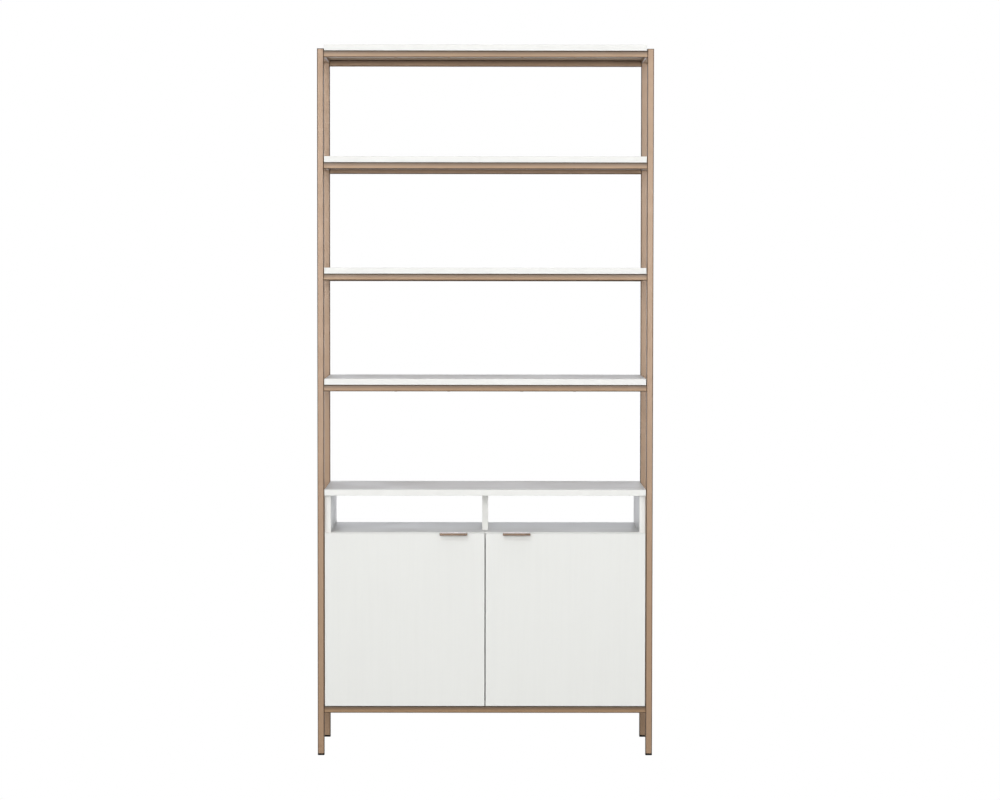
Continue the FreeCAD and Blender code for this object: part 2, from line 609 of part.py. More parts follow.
# Pulls: a strip folded three times, with a lip in front, a plate over the door's top and a leaf behind it
def make_pull(side):
    body = new_body("pull_" + side_name(side))
    profile = new_sketch(body, "profile", "YZ_Plane")
    lip_bottom = "Sizes.pull_sheet - Sizes.pull_lip"
    leaf_back = "Sizes.door_thickness + Sizes.pull_sheet"
    add_polygon(profile, [
        ("-Sizes.pull_reach", lip_bottom),
        ("Sizes.pull_sheet - Sizes.pull_reach", lip_bottom),
        ("Sizes.pull_sheet - Sizes.pull_reach", "0"),
        ("Sizes.door_thickness", "0"),
        ("Sizes.door_thickness", "-Sizes.pull_flange"),
        (leaf_back, "-Sizes.pull_flange"),
        (leaf_back, "Sizes.pull_sheet"),
        ("-Sizes.pull_reach", "Sizes.pull_sheet"),
    ])
    add_pad(body, profile, "Sizes.pull_width", symmetric=True)
    names = []
    for fold in (leaf_back, "-Sizes.pull_reach"):
        top, y = value("Sizes.pull_sheet"), value(fold)
        names += edge_names(body, lambda point: near(point.z, top) and near(point.y, y))
    base = body.Tip
    folds = body.newObject("PartDesign::Fillet", body.Name + "_folds")
    folds.Base = (base, names)
    folds.setExpression("Radius", "Sizes.pull_bend")
    place(body, signed(side, PULL_X), FRONT, DOOR_TOP)
    return body


# Concealed hinges, each drawn with X inward from the door's edge and Y back from its front
def make_cup():
    """The steel cup in the door, with its two ears and the pivot pin riveted across it."""
    body = new_body("cup")
    face = "-Sizes.door_thickness"
    ear_face = "-Sizes.door_thickness - Sizes.ear_thickness"
    shell = new_sketch(body, "shell", "XZ_Plane", offset=face)
    add_circle(shell, "Sizes.cup_inset", "0", "Sizes.cup_diameter")
    add_pad(body, shell, "Sizes.cup_depth")
    ears = new_sketch(body, "ears", "XZ_Plane", offset=face)
    add_rectangle(ears, EAR_INWARD, "0", "Sizes.ear_width", "Sizes.ear_span")
    add_pad(body, ears, "Sizes.ear_thickness", along_normal=False)
    cavity = new_sketch(body, "cavity", "XZ_Plane", offset=ear_face)
    add_circle(cavity, "Sizes.cup_inset", "0", "Sizes.cup_diameter - 2 * Sizes.cup_wall")
    add_pocket(body, cavity, "Sizes.cup_depth + Sizes.ear_thickness - Sizes.cup_wall", along_normal=True)
    pin = new_sketch(body, "pin", "XY_Plane")
    add_circle(pin, "Sizes.pivot_inward", "Sizes.pivot_back", "Sizes.pivot_pin")
    reach = "(Sizes.cup_inset - Sizes.pivot_inward)"
    chord = "2 * sqrt((Sizes.cup_diameter / 2) ^ 2 - %s ^ 2)" % reach
    add_pad(body, pin, "%s - Sizes.cup_wall" % chord, symmetric=True)
    return body


def make_link():
    """A goose-necked link that turns on the pivot pin and runs between the cheeks of the arm."""
    body = new_body("link")
    half = "Sizes.link_sheet / 2"
    eye = new_sketch(body, "eye", "XY_Plane")
    add_circle(eye, "0", "0", "2 * Sizes.link_sheet")
    add_pad(body, eye, "Sizes.link_width", symmetric=True)
    neck = new_sketch(body, "neck", "XY_Plane")
    bend_x, bend_y = "Sizes.link_bend_inward", "Sizes.link_bend_back"
    end_x, end_y = "Sizes.link_end_inward", "Sizes.link_end_back"
    add_polygon(neck, [
        ("0", "-%s" % half),
        ("%s + %s" % (bend_x, half), "%s - %s" % (bend_y, half)),
        ("%s + %s" % (end_x, half), end_y),
        ("%s - %s" % (end_x, half), end_y),
        ("%s - %s" % (bend_x, half), "%s + %s" % (bend_y, half)),
        ("0", half),
    ])
    add_pad(body, neck, "Sizes.link_width", symmetric=True)
    tip = new_sketch(body, "tip", "XY_Plane")
    add_circle(tip, end_x, end_y, "Sizes.link_sheet")
    add_pad(body, tip, "Sizes.link_width", symmetric=True)
    bore = new_sketch(body, "bore", "XY_Plane")
    add_circle(bore, "0", "0", "Sizes.pivot_pin + 2 * Sizes.pivot_fit")
    add_pocket(body, bore, "2 * Sizes.link_width", symmetric=True)
    return body


def make_arm():
    """The folded arm, an open channel whose nose dips into the cup, on its mounting plate."""
    body = new_body("arm")
    outline = new_sketch(body, "outline", "XY_Plane")
    nose = "(%s - Sizes.arm_nose_depth)" % ARM_TOP_INWARD
    add_polygon(outline, [
        (PLATE_FACE_INWARD, "Sizes.arm_end_back"),
        (PLATE_FACE_INWARD, "Sizes.arm_throat_back"),
        (nose, "Sizes.arm_nose_back + Sizes.arm_nose_length"),
        (nose, "Sizes.arm_nose_back"),
        (ARM_TOP_INWARD, "Sizes.arm_nose_back"),
        (ARM_TOP_INWARD, "Sizes.arm_end_back"),
    ])
    add_pad(body, outline, ARM_WIDTH, symmetric=True)
    channel = new_sketch(body, "channel", "XY_Plane")
    clear_height = "(Sizes.arm_height - Sizes.arm_sheet)"
    add_rectangle(channel, "(%s + %s / 2)" % (PLATE_FACE_INWARD, clear_height), "Sizes.arm_end_back / 2",
                  clear_height, "(2 * Sizes.arm_end_back)")
    add_pocket(body, channel, "Sizes.arm_channel", symmetric=True)
    base = new_sketch(body, "base", "YZ_Plane", offset=PANEL_FACE_INWARD)
    base_length = "(Sizes.arm_end_back - Sizes.arm_throat_back)"
    add_rectangle(base, "Sizes.arm_end_back - %s / 2" % base_length, "0", base_length, ARM_WIDTH)
    add_pad(body, base, "Sizes.plate_thickness")
    wings = new_sketch(body, "wings", "YZ_Plane", offset=PANEL_FACE_INWARD)
    add_rectangle(wings, "Sizes.wing_back", "0", "Sizes.wing_width", "Sizes.wing_span")
    add_pad(body, wings, "Sizes.plate_thickness")
    return body


# Fasteners: many and small, so each is drawn with six sides, and its hole as well
def make_bolt():
    """A headless frame bolt: its outer end lies flush in the rail and its inner end is seated in the stub."""
    body = new_body("bolt")
    section = new_sketch(body, "section", "XY_Plane")
    add_hexagon(section, "0", "0", "Sizes.bolt_diameter")
    add_pad(body, section, "Sizes.bolt_length")
    return body


def make_screw(name, length):
    """A wood screw that points up: the seat of its head lies on the XY plane."""
    body = new_body(name)
    head = new_sketch(body, "head", "XY_Plane")
    add_hexagon(head, "0", "0", "Sizes.screw_head")
    add_pad(body, head, "Sizes.screw_head_height", along_normal=False)
    shank = new_sketch(body, "shank", "XY_Plane")
    add_hexagon(shank, "0", "0", "Sizes.screw_diameter")
    add_pad(body, shank, length)
    return body


def make_bumper():
    """A soft square pad stuck to the front edge of the carcass."""
    body = new_body("bumper")
    outline = new_sketch(body, "outline", "XY_Plane")
    add_rectangle(outline, "0", "0", "Sizes.bumper_side", "Sizes.bumper_side")
    add_pad(body, outline, "Sizes.bumper")
    return body


# How a piece drawn upright is turned
UPRIGHT = Rotation()
FORWARD = Rotation(Vector(1, 0, 0), 90)
INWARD = {LEFT: Rotation(Vector(0, 1, 0), 90), RIGHT: Rotation(Vector(0, 1, 0), -90)}
# A hinge is drawn for the left side and turned half round for the right
HINGE_TURN = {LEFT: Rotation(), RIGHT: Rotation(Vector(0, 1, 0), 180)}

nodes = []

# The frame
for side in (LEFT, RIGHT):
    for position, y in (("front", POST_FRONT_Y), ("rear", POST_REAR_Y)):
        nodes.append(make_post(side, position, y))
        nodes.append(make_glide(side, position, y))
    for number, z in enumerate(CROSSBARS, start=1):
        nodes.append(make_crossbar(side, number, z))
for number, z in enumerate(FRONT_RAILS, start=1):
    nodes.append(make_rail("front_rail_%d" % number, RAIL_FRONT_Y, z, ALL_SCREWS))
for number, z in enumerate(REAR_RAILS, start=1):
    nodes.append(make_rail("rear_rail_%d" % number, POST_REAR_Y, z, []))
bottom_rail_front = make_rail("bottom_rail_front", RAIL_FRONT_Y, BOTTOM_RAIL_Z, [])
add_lugs(bottom_rail_front)
nodes.append(bottom_rail_front)
nodes.append(make_rail("bottom_rail_rear", POST_REAR_Y, BOTTOM_RAIL_Z, OUTER_SCREWS))

rail_places = [(RAIL_FRONT_Y, z) for z in FRONT_RAILS + [BOTTOM_RAIL_Z]]
rail_places += [(POST_REAR_Y, z) for z in REAR_RAILS + [BOTTOM_RAIL_Z]]
stub, bolt = make_stub(), make_bolt()
nodes.append(group("rail_stubs", [
    (stub, UPRIGHT, signed(side, STUB_X), y, z) for side in (LEFT, RIGHT) for y, z in rail_places
]))
nodes.append(group("frame_bolts", [
    (bolt, UPRIGHT, signed(side, STUB_X), y, "%s - Sizes.tube / 2" % z)
    for side in (LEFT, RIGHT) for y, z in rail_places
]))

cap = plate_and_plug("cap", "Sizes.cap_thickness", "Sizes.cap_plug")
nodes.append(group("post_caps", [
    (cap, UPRIGHT, signed(side, POST_X), y, "%s - Sizes.cap_thickness" % POST_TOP)
    for side in (LEFT, RIGHT) for y in (POST_FRONT_Y, POST_REAR_Y)
]))

# The shelves and the cabinet
for number, top in enumerate(SHELF_TOPS, start=1):
    nodes.append(make_shelf(number, top))
nodes.append(make_cabinet_top())
nodes.append(make_side_panel(LEFT))
nodes.append(make_side_panel(RIGHT))
nodes.append(make_cubby_floor())
nodes.append(make_divider())
nodes.append(make_cabinet_bottom())
nodes.append(make_back_panel())
nodes.append(make_inner_shelf())

# The doors, their pulls and their hinges
hinge_cup, hinge_link, hinge_arm = make_cup(), make_link(), make_arm()
for side in (LEFT, RIGHT):
    name, turn, inward = side_name(side), HINGE_TURN[side], -side
    nodes.append(make_door(side))
    nodes.append(make_pull(side))
    edge = signed(side, DOOR_EDGE_X)
    pivot_x = "%s + %s" % (edge, signed(inward, "Sizes.pivot_inward"))
    pivot_y = "%s + Sizes.pivot_back" % FRONT
    nodes.append(group("hinge_cups_" + name, [(hinge_cup, turn, edge, FRONT, z) for z in HINGE_Z]))
    nodes.append(group("hinge_links_" + name, [(hinge_link, turn, pivot_x, pivot_y, z) for z in HINGE_Z]))
    nodes.append(group("hinge_arms_" + name, [(hinge_arm, turn, edge, FRONT, z) for z in HINGE_Z]))

# The screws that hold the shelves and the cabinet to the rails
screw, lug_screw = make_screw("wood_screw", SCREW_LENGTH), make_screw("lug_screw", LUG_SCREW_LENGTH)
nodes.append(group("shelf_screws", [
    (screw, UPRIGHT, x, RAIL_FRONT_Y, "%s - Sizes.tube / 2" % z) for z in FRONT_RAILS for x in ALL_SCREWS
]))
cabinet_screws = [(screw, UPRIGHT, x, POST_REAR_Y, "Sizes.base_height") for x in OUTER_SCREWS]
lug_underside = "%s - Sizes.lug_thickness" % CARCASS_BOTTOM
for x in ALL_SCREWS:
    cabinet_screws.append((lug_screw, UPRIGHT, x, "%s + %s" % (FRONT, LUG_SCREW_BACK), lug_underside))
nodes.append(group("cabinet_screws", cabinet_screws))

# The shelf pins and the door bumpers
pin = round_bar("pin", "2 * %s" % PIN_RADIUS, "-Sizes.pin_hole_depth", "Sizes.pin_hole_depth + Sizes.pin_peg")
nodes.append(group("shelf_pins", [
    (pin, INWARD[side], signed(side, "%s / 2" % CARCASS_INNER), "%s + %s" % (CARCASS_FRONT, back), PIN_Z)
    for side in (LEFT, RIGHT) for back in PIN_BACK
]))
door_bumper = make_bumper()
nodes.append(group("door_bumpers", [
    (door_bumper, FORWARD, signed(side, "Sizes.bumper_from_middle"), CARCASS_FRONT, z)
    for side in (LEFT, RIGHT)
    for z in ("%s + Sizes.panel / 2" % CARCASS_BOTTOM, "%s - Sizes.panel / 2" % FLOOR_TOP)
]))

doc.recompute()

# Nothing is written unless every object is sound
for item in doc.Objects:
    if "Invalid" in item.State or "Error" in item.State:
        raise RuntimeError("%s failed: %s" % (item.Name, item.State))
for node in nodes:
    if node.Shape.isNull() or not node.Shape.isValid() or not node.Shape.Solids:
        raise RuntimeError("%s has no valid solid" % node.Label)

os.makedirs("parts", exist_ok=True)
for node in nodes:
    node.Shape.exportStep("parts/%s.step" % node.Label)
    print("%-20s %2d solids %12.1f mm3" % (node.Label, len(node.Shape.Solids), node.Shape.Volume))
print(len(nodes), "nodes")
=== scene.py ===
# %% [markdown]
# # A modular bookcase, dressed for its portrait
# The real piece is a tall ladder of square steel tube in a satin champagne lacquer. It carries four white
# shelves and, at the bottom, a white cabinet with an open cubby and two doors with folded bronze pulls.
# The CAD model gives every size and place. Here each visible part is modelled again with the soft edges and
# finishes that make a photograph look real, or keeps its CAD mesh and gets a better material and, where its
# edges show, live rounding.

# %% Load the CAD model
import math
import bpy
from mathutils import Matrix, Vector


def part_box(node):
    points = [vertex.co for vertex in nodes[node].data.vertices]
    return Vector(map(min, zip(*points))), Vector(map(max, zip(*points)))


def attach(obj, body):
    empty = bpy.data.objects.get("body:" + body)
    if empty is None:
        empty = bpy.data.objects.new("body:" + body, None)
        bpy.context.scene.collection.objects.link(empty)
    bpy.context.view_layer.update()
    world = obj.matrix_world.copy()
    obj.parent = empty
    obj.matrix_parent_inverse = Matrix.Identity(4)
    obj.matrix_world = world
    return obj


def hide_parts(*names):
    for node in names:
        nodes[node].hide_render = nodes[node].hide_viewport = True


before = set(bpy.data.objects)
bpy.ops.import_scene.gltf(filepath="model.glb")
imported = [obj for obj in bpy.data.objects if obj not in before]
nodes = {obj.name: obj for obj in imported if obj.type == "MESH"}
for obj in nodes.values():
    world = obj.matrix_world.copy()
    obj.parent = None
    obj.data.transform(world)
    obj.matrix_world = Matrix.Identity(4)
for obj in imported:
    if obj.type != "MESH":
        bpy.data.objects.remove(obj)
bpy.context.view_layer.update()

FIXED = "frame_and_cabinet"

# %% [markdown]
# ## Working like a maker at the bench
# Every new part starts as a plain block or sheet at its true size and place. It is then picked up in edit
# mode, and only the faces or edges that need work are selected, by where they lie or where they point. Small
# helpers keep that readable: one lays the block down, one selects, and the others round, ease and shade.

# %% Helpers: a block of material and a selection
MM = 0.001
HAIR = 1e-6
FACING = 0.9
SIGN = {"left": -1, "right": 1}


def start_block(name, low, high):
    """A cube that fills the box from low to high, with its place kept in its mesh."""
    bpy.ops.object.select_all(action="DESELECT")
    centre = [(a + b) / 2 for a, b in zip(low, high)]
    size = [b - a for a, b in zip(low, high)]
    bpy.ops.mesh.primitive_cube_add(size=1, location=centre, scale=size)
    piece = bpy.context.object
    piece.name = piece.data.name = name
    bpy.ops.object.transform_apply(location=True, rotation=True, scale=True)
    return piece


def pick(piece, kind, test):
    """Leaves the piece in edit mode, with only the faces or edges selected that pass the test."""
    bpy.context.view_layer.objects.active = piece
    bpy.ops.object.mode_set(mode="EDIT")
    bpy.ops.mesh.select_mode(type=kind)
    bpy.ops.mesh.select_all(action="DESELECT")
    bpy.ops.object.mode_set(mode="OBJECT")
    mesh = piece.data
    if kind == "FACE":
        for face in mesh.polygons:
            face.select = test(face.center, face.normal)
    else:
        for edge in mesh.edges:
            a, b = (mesh.vertices[i].co for i in edge.vertices)
            edge.select = test(a, b)
    bpy.ops.object.mode_set(mode="EDIT")


def near(a, b):
    """True for two measures that differ by no more than rounding."""
    return abs(a - b) < HAIR


def along(axis):
    """A test for edges that run along one axis, 0 for X, 1 for Y and 2 for Z."""
    def test(a, b):
        others = [i for i in range(3) if i != axis]
        return abs(a[axis] - b[axis]) > 10 * HAIR and all(near(a[i], b[i]) for i in others)
    return test


print("selection helpers ready")

# %% Helpers: rounding, easing and shading
def round_picked(radius, segments=3):
    """Rounds the selected edges and leaves edit mode."""
    bpy.ops.mesh.bevel(offset=radius, offset_type="OFFSET", segments=segments, profile=0.5, affect="EDGES")
    bpy.ops.object.mode_set(mode="OBJECT")


def ease_edges(piece, width, degrees=30):
    """A live bevel on every edge that turns by more than the given angle."""
    eased = piece.modifiers.new("eased edges", "BEVEL")
    eased.width, eased.segments = width, 2
    eased.limit_method, eased.angle_limit = "ANGLE", math.radians(degrees)


def apply_modifiers(piece):
    bpy.context.view_layer.objects.active = piece
    for modifier in list(piece.modifiers):
        bpy.ops.object.modifier_apply(modifier=modifier.name)


def smooth(piece, degrees=40):
    """Shades the roundings smoothly and keeps the flat faces flat."""
    bpy.ops.object.select_all(action="DESELECT")
    piece.select_set(True)
    bpy.context.view_layer.objects.active = piece
    bpy.ops.object.shade_smooth_by_angle(angle=math.radians(degrees))
    weights = piece.modifiers.new("even shading", "WEIGHTED_NORMAL")
    weights.keep_sharp = True
    apply_modifiers(piece)


print("finishing helpers ready")

# %% [markdown]
# ## Shader groups: the effects that several finishes share
# Lacquer, laminate and plastic all need a little unevenness, each at its own scale. One group gives a soft
# mottle, one gives the fine relief of a sprayed or rolled surface, one gives the printed grain of the white
# boards, and one mixes painted shade into the lacquer over the tube's corners. The patterns are fed with
# Object coordinates, so each stays on its part when the part moves.

# %% Group 1: mottle, a soft mask that wanders over the surface
def new_group(name, inputs, outputs):
    tree = bpy.data.node_groups.new(name, "ShaderNodeTree")
    for label, kind, default in inputs:
        socket = tree.interface.new_socket(label, in_out="INPUT", socket_type=kind)
        if default is not None:
            socket.default_value = default
    for label, kind in outputs:
        tree.interface.new_socket(label, in_out="OUTPUT", socket_type=kind)
    return tree, tree.nodes.new("NodeGroupInput"), tree.nodes.new("NodeGroupOutput")


FLOAT, VECTOR, COLOR = "NodeSocketFloat", "NodeSocketVector", "NodeSocketColor"

mottle, given, result = new_group(
    "mottle",
    [("Vector", VECTOR, None), ("Scale", FLOAT, 20.0), ("Low", FLOAT, 0.3), ("High", FLOAT, 0.4)],
    [("Value", FLOAT)])
noise = mottle.nodes.new("ShaderNodeTexNoise")
noise.inputs["Detail"].default_value = 4.0
noise.inputs["Roughness"].default_value = 0.55
spread = mottle.nodes.new("ShaderNodeMapRange")
spread.inputs["From Min"].default_value = 0.3
spread.inputs["From Max"].default_value = 0.7
mottle.links.new(given.outputs["Vector"], noise.inputs["Vector"])
mottle.links.new(given.outputs["Scale"], noise.inputs["Scale"])
mottle.links.new(noise.outputs["Fac"], spread.inputs["Value"])
mottle.links.new(given.outputs["Low"], spread.inputs["To Min"])
mottle.links.new(given.outputs["High"], spread.inputs["To Max"])
mottle.links.new(spread.outputs["Result"], result.inputs["Value"])
print("group:", mottle.name)

# %% Group 2: skin, the fine relief of lacquer or rolled sheet
skin, given, result = new_group(
    "skin",
    [("Vector", VECTOR, None), ("Stretch", VECTOR, (1, 1, 1)), ("Scale", FLOAT, 900.0),
     ("Strength", FLOAT, 0.1)],
    [("Normal", VECTOR)])
stretch = skin.nodes.new("ShaderNodeVectorMath")
stretch.operation = "MULTIPLY"
grains = skin.nodes.new("ShaderNodeTexNoise")
grains.inputs["Detail"].default_value = 2.0
relief = skin.nodes.new("ShaderNodeBump")
relief.inputs["Distance"].default_value = 0.0002
skin.links.new(given.outputs["Vector"], stretch.inputs[0])
skin.links.new(given.outputs["Stretch"], stretch.inputs[1])
skin.links.new(stretch.outputs["Vector"], grains.inputs["Vector"])
skin.links.new(given.outputs["Scale"], grains.inputs["Scale"])
skin.links.new(grains.outputs["Fac"], relief.inputs["Height"])
skin.links.new(given.outputs["Strength"], relief.inputs["Strength"])
skin.links.new(relief.outputs["Normal"], result.inputs["Normal"])
print("group:", skin.name)

# %% Group 3: printed grain, long faint streaks with a few darker ones
grain, given, result = new_group(
    "printed_grain",
    [("Vector", VECTOR, None), ("Light", COLOR, (0.8, 0.8, 0.78, 1)), ("Dark", COLOR, (0.7, 0.7, 0.69, 1)),
     ("Density", FLOAT, 60.0)],
    [("Color", COLOR)])
long_streaks = grain.nodes.new("ShaderNodeVectorMath")
long_streaks.operation = "MULTIPLY"
long_streaks.inputs[1].default_value = (0.035, 1.0, 1.0)
streaks = grain.nodes.new("ShaderNodeTexNoise")
streaks.inputs["Detail"].default_value = 6.0
streaks.inputs["Roughness"].default_value = 0.7
streaks.inputs["Distortion"].default_value = 0.25
lift = grain.nodes.new("ShaderNodeMapRange")
lift.inputs["From Min"].default_value = 0.42
lift.inputs["From Max"].default_value = 0.75
tint = grain.nodes.new("ShaderNodeMix")
tint.data_type = "RGBA"
grain.links.new(given.outputs["Vector"], long_streaks.inputs[0])
grain.links.new(long_streaks.outputs["Vector"], streaks.inputs["Vector"])
grain.links.new(given.outputs["Density"], streaks.inputs["Scale"])
grain.links.new(streaks.outputs["Fac"], lift.inputs["Value"])
grain.links.new(lift.outputs["Result"], tint.inputs["Factor"])
grain.links.new(given.outputs["Light"], tint.inputs["A"])
grain.links.new(given.outputs["Dark"], tint.inputs["B"])
grain.links.new(tint.outputs["Result"], result.inputs["Color"])
print("group:", grain.name)

# %% Group 4: painted corner shade, a dark shade tone mixed in as far as the Corner input asks
thin_corners, given, result = new_group(
    "thin_corners",
    [("Color", COLOR, (0.3, 0.2, 0.1, 1)), ("Undercoat", COLOR, (0.1, 0.07, 0.04, 1)),
     ("Corner", FLOAT, 0.0), ("Strength", FLOAT, 1.0)],
    [("Color", COLOR)])
amount = thin_corners.nodes.new("ShaderNodeMath")
amount.operation, amount.use_clamp = "MULTIPLY", True
blend = thin_corners.nodes.new("ShaderNodeMix")
blend.data_type = "RGBA"
thin_corners.links.new(given.outputs["Corner"], amount.inputs[0])
thin_corners.links.new(given.outputs["Strength"], amount.inputs[1])
thin_corners.links.new(amount.outputs["Value"], blend.inputs["Factor"])
thin_corners.links.new(given.outputs["Color"], blend.inputs["A"])
thin_corners.links.new(given.outputs["Undercoat"], blend.inputs["B"])
thin_corners.links.new(blend.outputs["Result"], result.inputs["Color"])
print("group:", thin_corners.name)

# %% [markdown]
# ## The finishes
# Each finish is one Principled shader. Numbers that are the same all over the surface are set on its own
# sockets, and only what varies is fed in by nodes: two close tones, a wandering roughness and a fine relief.
# The patches of the roughness are smaller than those of the tones, so the two don't fall together.

# %% A material bench: shader, coordinates and the groups wired in
GLOSS_FINER = 2.7


def add_group(tree, group, place, **values):
    """One of the shared groups, fed with a place and set to the given values."""
    node = tree.nodes.new("ShaderNodeGroup")
    node.node_tree = group
    tree.links.new(place, node.inputs["Vector"])
    for label, value in values.items():
        node.inputs[label].default_value = value
    return node


def new_surface(name, metallic, rough, patches, relief, stretch=(1, 1, 1)):
    """A material with an uneven gloss and a fine relief (scale, strength), still without its colour."""
    material = bpy.data.materials.new(name)
    material.use_nodes = True
    tree = material.node_tree
    shader = tree.nodes["Principled BSDF"]
    shader.inputs["Metallic"].default_value = metallic
    place = tree.nodes.new("ShaderNodeTexCoord").outputs["Object"]
    gloss = add_group(tree, mottle, place, Scale=patches * GLOSS_FINER, Low=rough[0], High=rough[1])
    fine = add_group(tree, skin, place, Scale=relief[0], Strength=relief[1], Stretch=stretch)
    tree.links.new(gloss.outputs["Value"], shader.inputs["Roughness"])
    tree.links.new(fine.outputs["Normal"], shader.inputs["Normal"])
    return material, place


def mix_tones(tree, place, light, dark, patches):
    """Two close tones in soft patches."""
    clouds = add_group(tree, mottle, place, Scale=patches, Low=0.0, High=1.0)
    tone = tree.nodes.new("ShaderNodeMix")
    tone.data_type = "RGBA"
    tone.inputs["A"].default_value = (*light, 1)
    tone.inputs["B"].default_value = (*dark, 1)
    tree.links.new(clouds.outputs["Value"], tone.inputs["Factor"])
    return tone.outputs["Result"]


def paint(material, colour):
    """Feeds a colour to the material's shader."""
    tree = material.node_tree
    tree.links.new(colour, tree.nodes["Principled BSDF"].inputs["Base Color"])


def new_finish(name, light, dark, metallic, rough, patches, relief, stretch=(1, 1, 1)):
    """A finish with two close tones, an uneven gloss and a fine relief."""
    material, place = new_surface(name, metallic, rough, patches, relief, stretch)
    paint(material, mix_tones(material.node_tree, place, light, dark, patches))
    return material


def set_shader(material, label, value):
    """Sets a socket of the shader itself, for what is the same all over the surface."""
    material.node_tree.nodes["Principled BSDF"].inputs[label].default_value = value


print("material bench ready")

# %% [markdown]
# Champagne lacquer on steel: it reads as warm metal, but the lacquer softens the reflections and keeps a
# slight sprayed skin. Over the corners of the tube a dark tone is painted in as shade, and it draws the dark
# line that outlines each tube. The rails get a darker copy of the lacquer, which is painted shade for the
# boards over them, and more painted shade that deepens towards their tops. The tubes store how far each
# point lies into a corner and how high it lies, and this finish reads both.

# %% Lacquered tube
# The first tone below is painted shade: the dark tone mixed over the tubes' corners and the rails' tops.
PAINTED_SHADE_TONE = (0.060, 0.036, 0.019)
CORNER_STRENGTH = 1.6
SHADE_FROM = 0.2
LACQUER_PATCHES = 6.0


def read_stored(tree, name):
    """A value that the mesh stores at its points."""
    stored = tree.nodes.new("ShaderNodeAttribute")
    stored.attribute_name = name
    return stored.outputs["Fac"]


def new_lacquer(name, light, dark, shade=0.0):
    """Champagne lacquer with painted shade over its corners and, if asked, painted shade towards the top."""
    material, place = new_surface(name, metallic=0.08, rough=(0.27, 0.36), patches=LACQUER_PATCHES,
                                  relief=(1400.0, 0.10))
    tree = material.node_tree
    painted_top_shade = tree.nodes.new("ShaderNodeMapRange")
    painted_top_shade.interpolation_type = "SMOOTHSTEP"
    painted_top_shade.inputs["From Min"].default_value = SHADE_FROM
    painted_top_shade.inputs["To Max"].default_value = shade
    either = tree.nodes.new("ShaderNodeMath")
    either.operation = "MAXIMUM"
    shade_mix = tree.nodes.new("ShaderNodeGroup")
    shade_mix.node_tree = thin_corners
    shade_mix.inputs["Undercoat"].default_value = (*PAINTED_SHADE_TONE, 1)
    shade_mix.inputs["Strength"].default_value = CORNER_STRENGTH
    tree.links.new(read_stored(tree, "height"), painted_top_shade.inputs["Value"])
    tree.links.new(painted_top_shade.outputs["Result"], either.inputs[0])
    tree.links.new(read_stored(tree, "corner"), either.inputs[1])
    tree.links.new(either.outputs["Value"], shade_mix.inputs["Corner"])
    tree.links.new(mix_tones(tree, place, light, dark, LACQUER_PATCHES), shade_mix.inputs["Color"])
    paint(material, shade_mix.outputs["Color"])
    return material


champagne = new_lacquer("champagne_lacquer", (0.375, 0.241, 0.146), (0.345, 0.219, 0.131))
# The rails' copy is darker, as painted shade under the boards, and its painted shade deepens towards the top.
champagne_rail = new_lacquer("champagne_rail", (0.355, 0.221, 0.120), (0.325, 0.201, 0.108), shade=0.54)
print("lacquers:", champagne.name, champagne_rail.name)

# %% [markdown]
# The bronze of the pulls was brushed along the strip before it was lacquered, so its relief is drawn out
# along X. The hinges, the shelf pins and the screws that hold hinges and pulls are nickel plated. The set
# screws, the adjusters and the cabinet's screws are zinc plated, which is duller. The screws under the
# shelves wear the lacquer of the rails.

# %% Other metals
bronze = new_finish("brushed_bronze", (0.27, 0.19, 0.14), (0.21, 0.15, 0.11), metallic=0.92,
                    rough=(0.18, 0.27), patches=25.0, relief=(1500.0, 0.16), stretch=(0.03, 1, 1))
nickel = new_finish("nickel_plate", (0.66, 0.655, 0.64), (0.58, 0.575, 0.565), metallic=1.0,
                    rough=(0.20, 0.34), patches=40.0, relief=(1200.0, 0.06))
zinc = new_finish("zinc_plate", (0.60, 0.61, 0.63), (0.46, 0.47, 0.50), metallic=1.0,
                  rough=(0.28, 0.48), patches=120.0, relief=(1500.0, 0.12))
print("metals:", bronze.name, nickel.name, zinc.name)

# %% Plastics
black = new_finish("black_plastic", (0.010, 0.008, 0.006), (0.016, 0.013, 0.010), metallic=0.0,
                   rough=(0.55, 0.70), patches=90.0, relief=(1600.0, 0.25))
set_shader(black, "Specular IOR Level", 0.15)
rubber = new_finish("clear_rubber", (0.70, 0.70, 0.69), (0.62, 0.62, 0.61), metallic=0.0,
                    rough=(0.25, 0.40), patches=200.0, relief=(900.0, 0.05))
set_shader(rubber, "Coat Weight", 0.3)
print("plastics:", black.name, rubber.name)

# %% [markdown]
# White boards: the real ones are particle board under a cream-white laminate with a faint printed grain, and
# their front edges wear a strip of plain edge banding. The grain group runs along X, so each board turns its
# coordinates with a Mapping node until the streaks follow its own length. The cabinet's CAD boards are one
# mesh each, so their band is a one millimetre zone at the front, found by a comparison on Y. The faces under
# the shelves get a plain tan finish, which is painted shade, tinted with the tan light off the rails.

# %% White laminate, turned two ways, with or without a banded front
BAND = 1.0 * MM
BAND_WHITE = (0.83, 0.83, 0.80)
WHITE, GREYER = (0.80, 0.80, 0.785), (0.735, 0.735, 0.725)
ALONG_X, ALONG_Z = (0, 0, 0), (0, 90, 0)


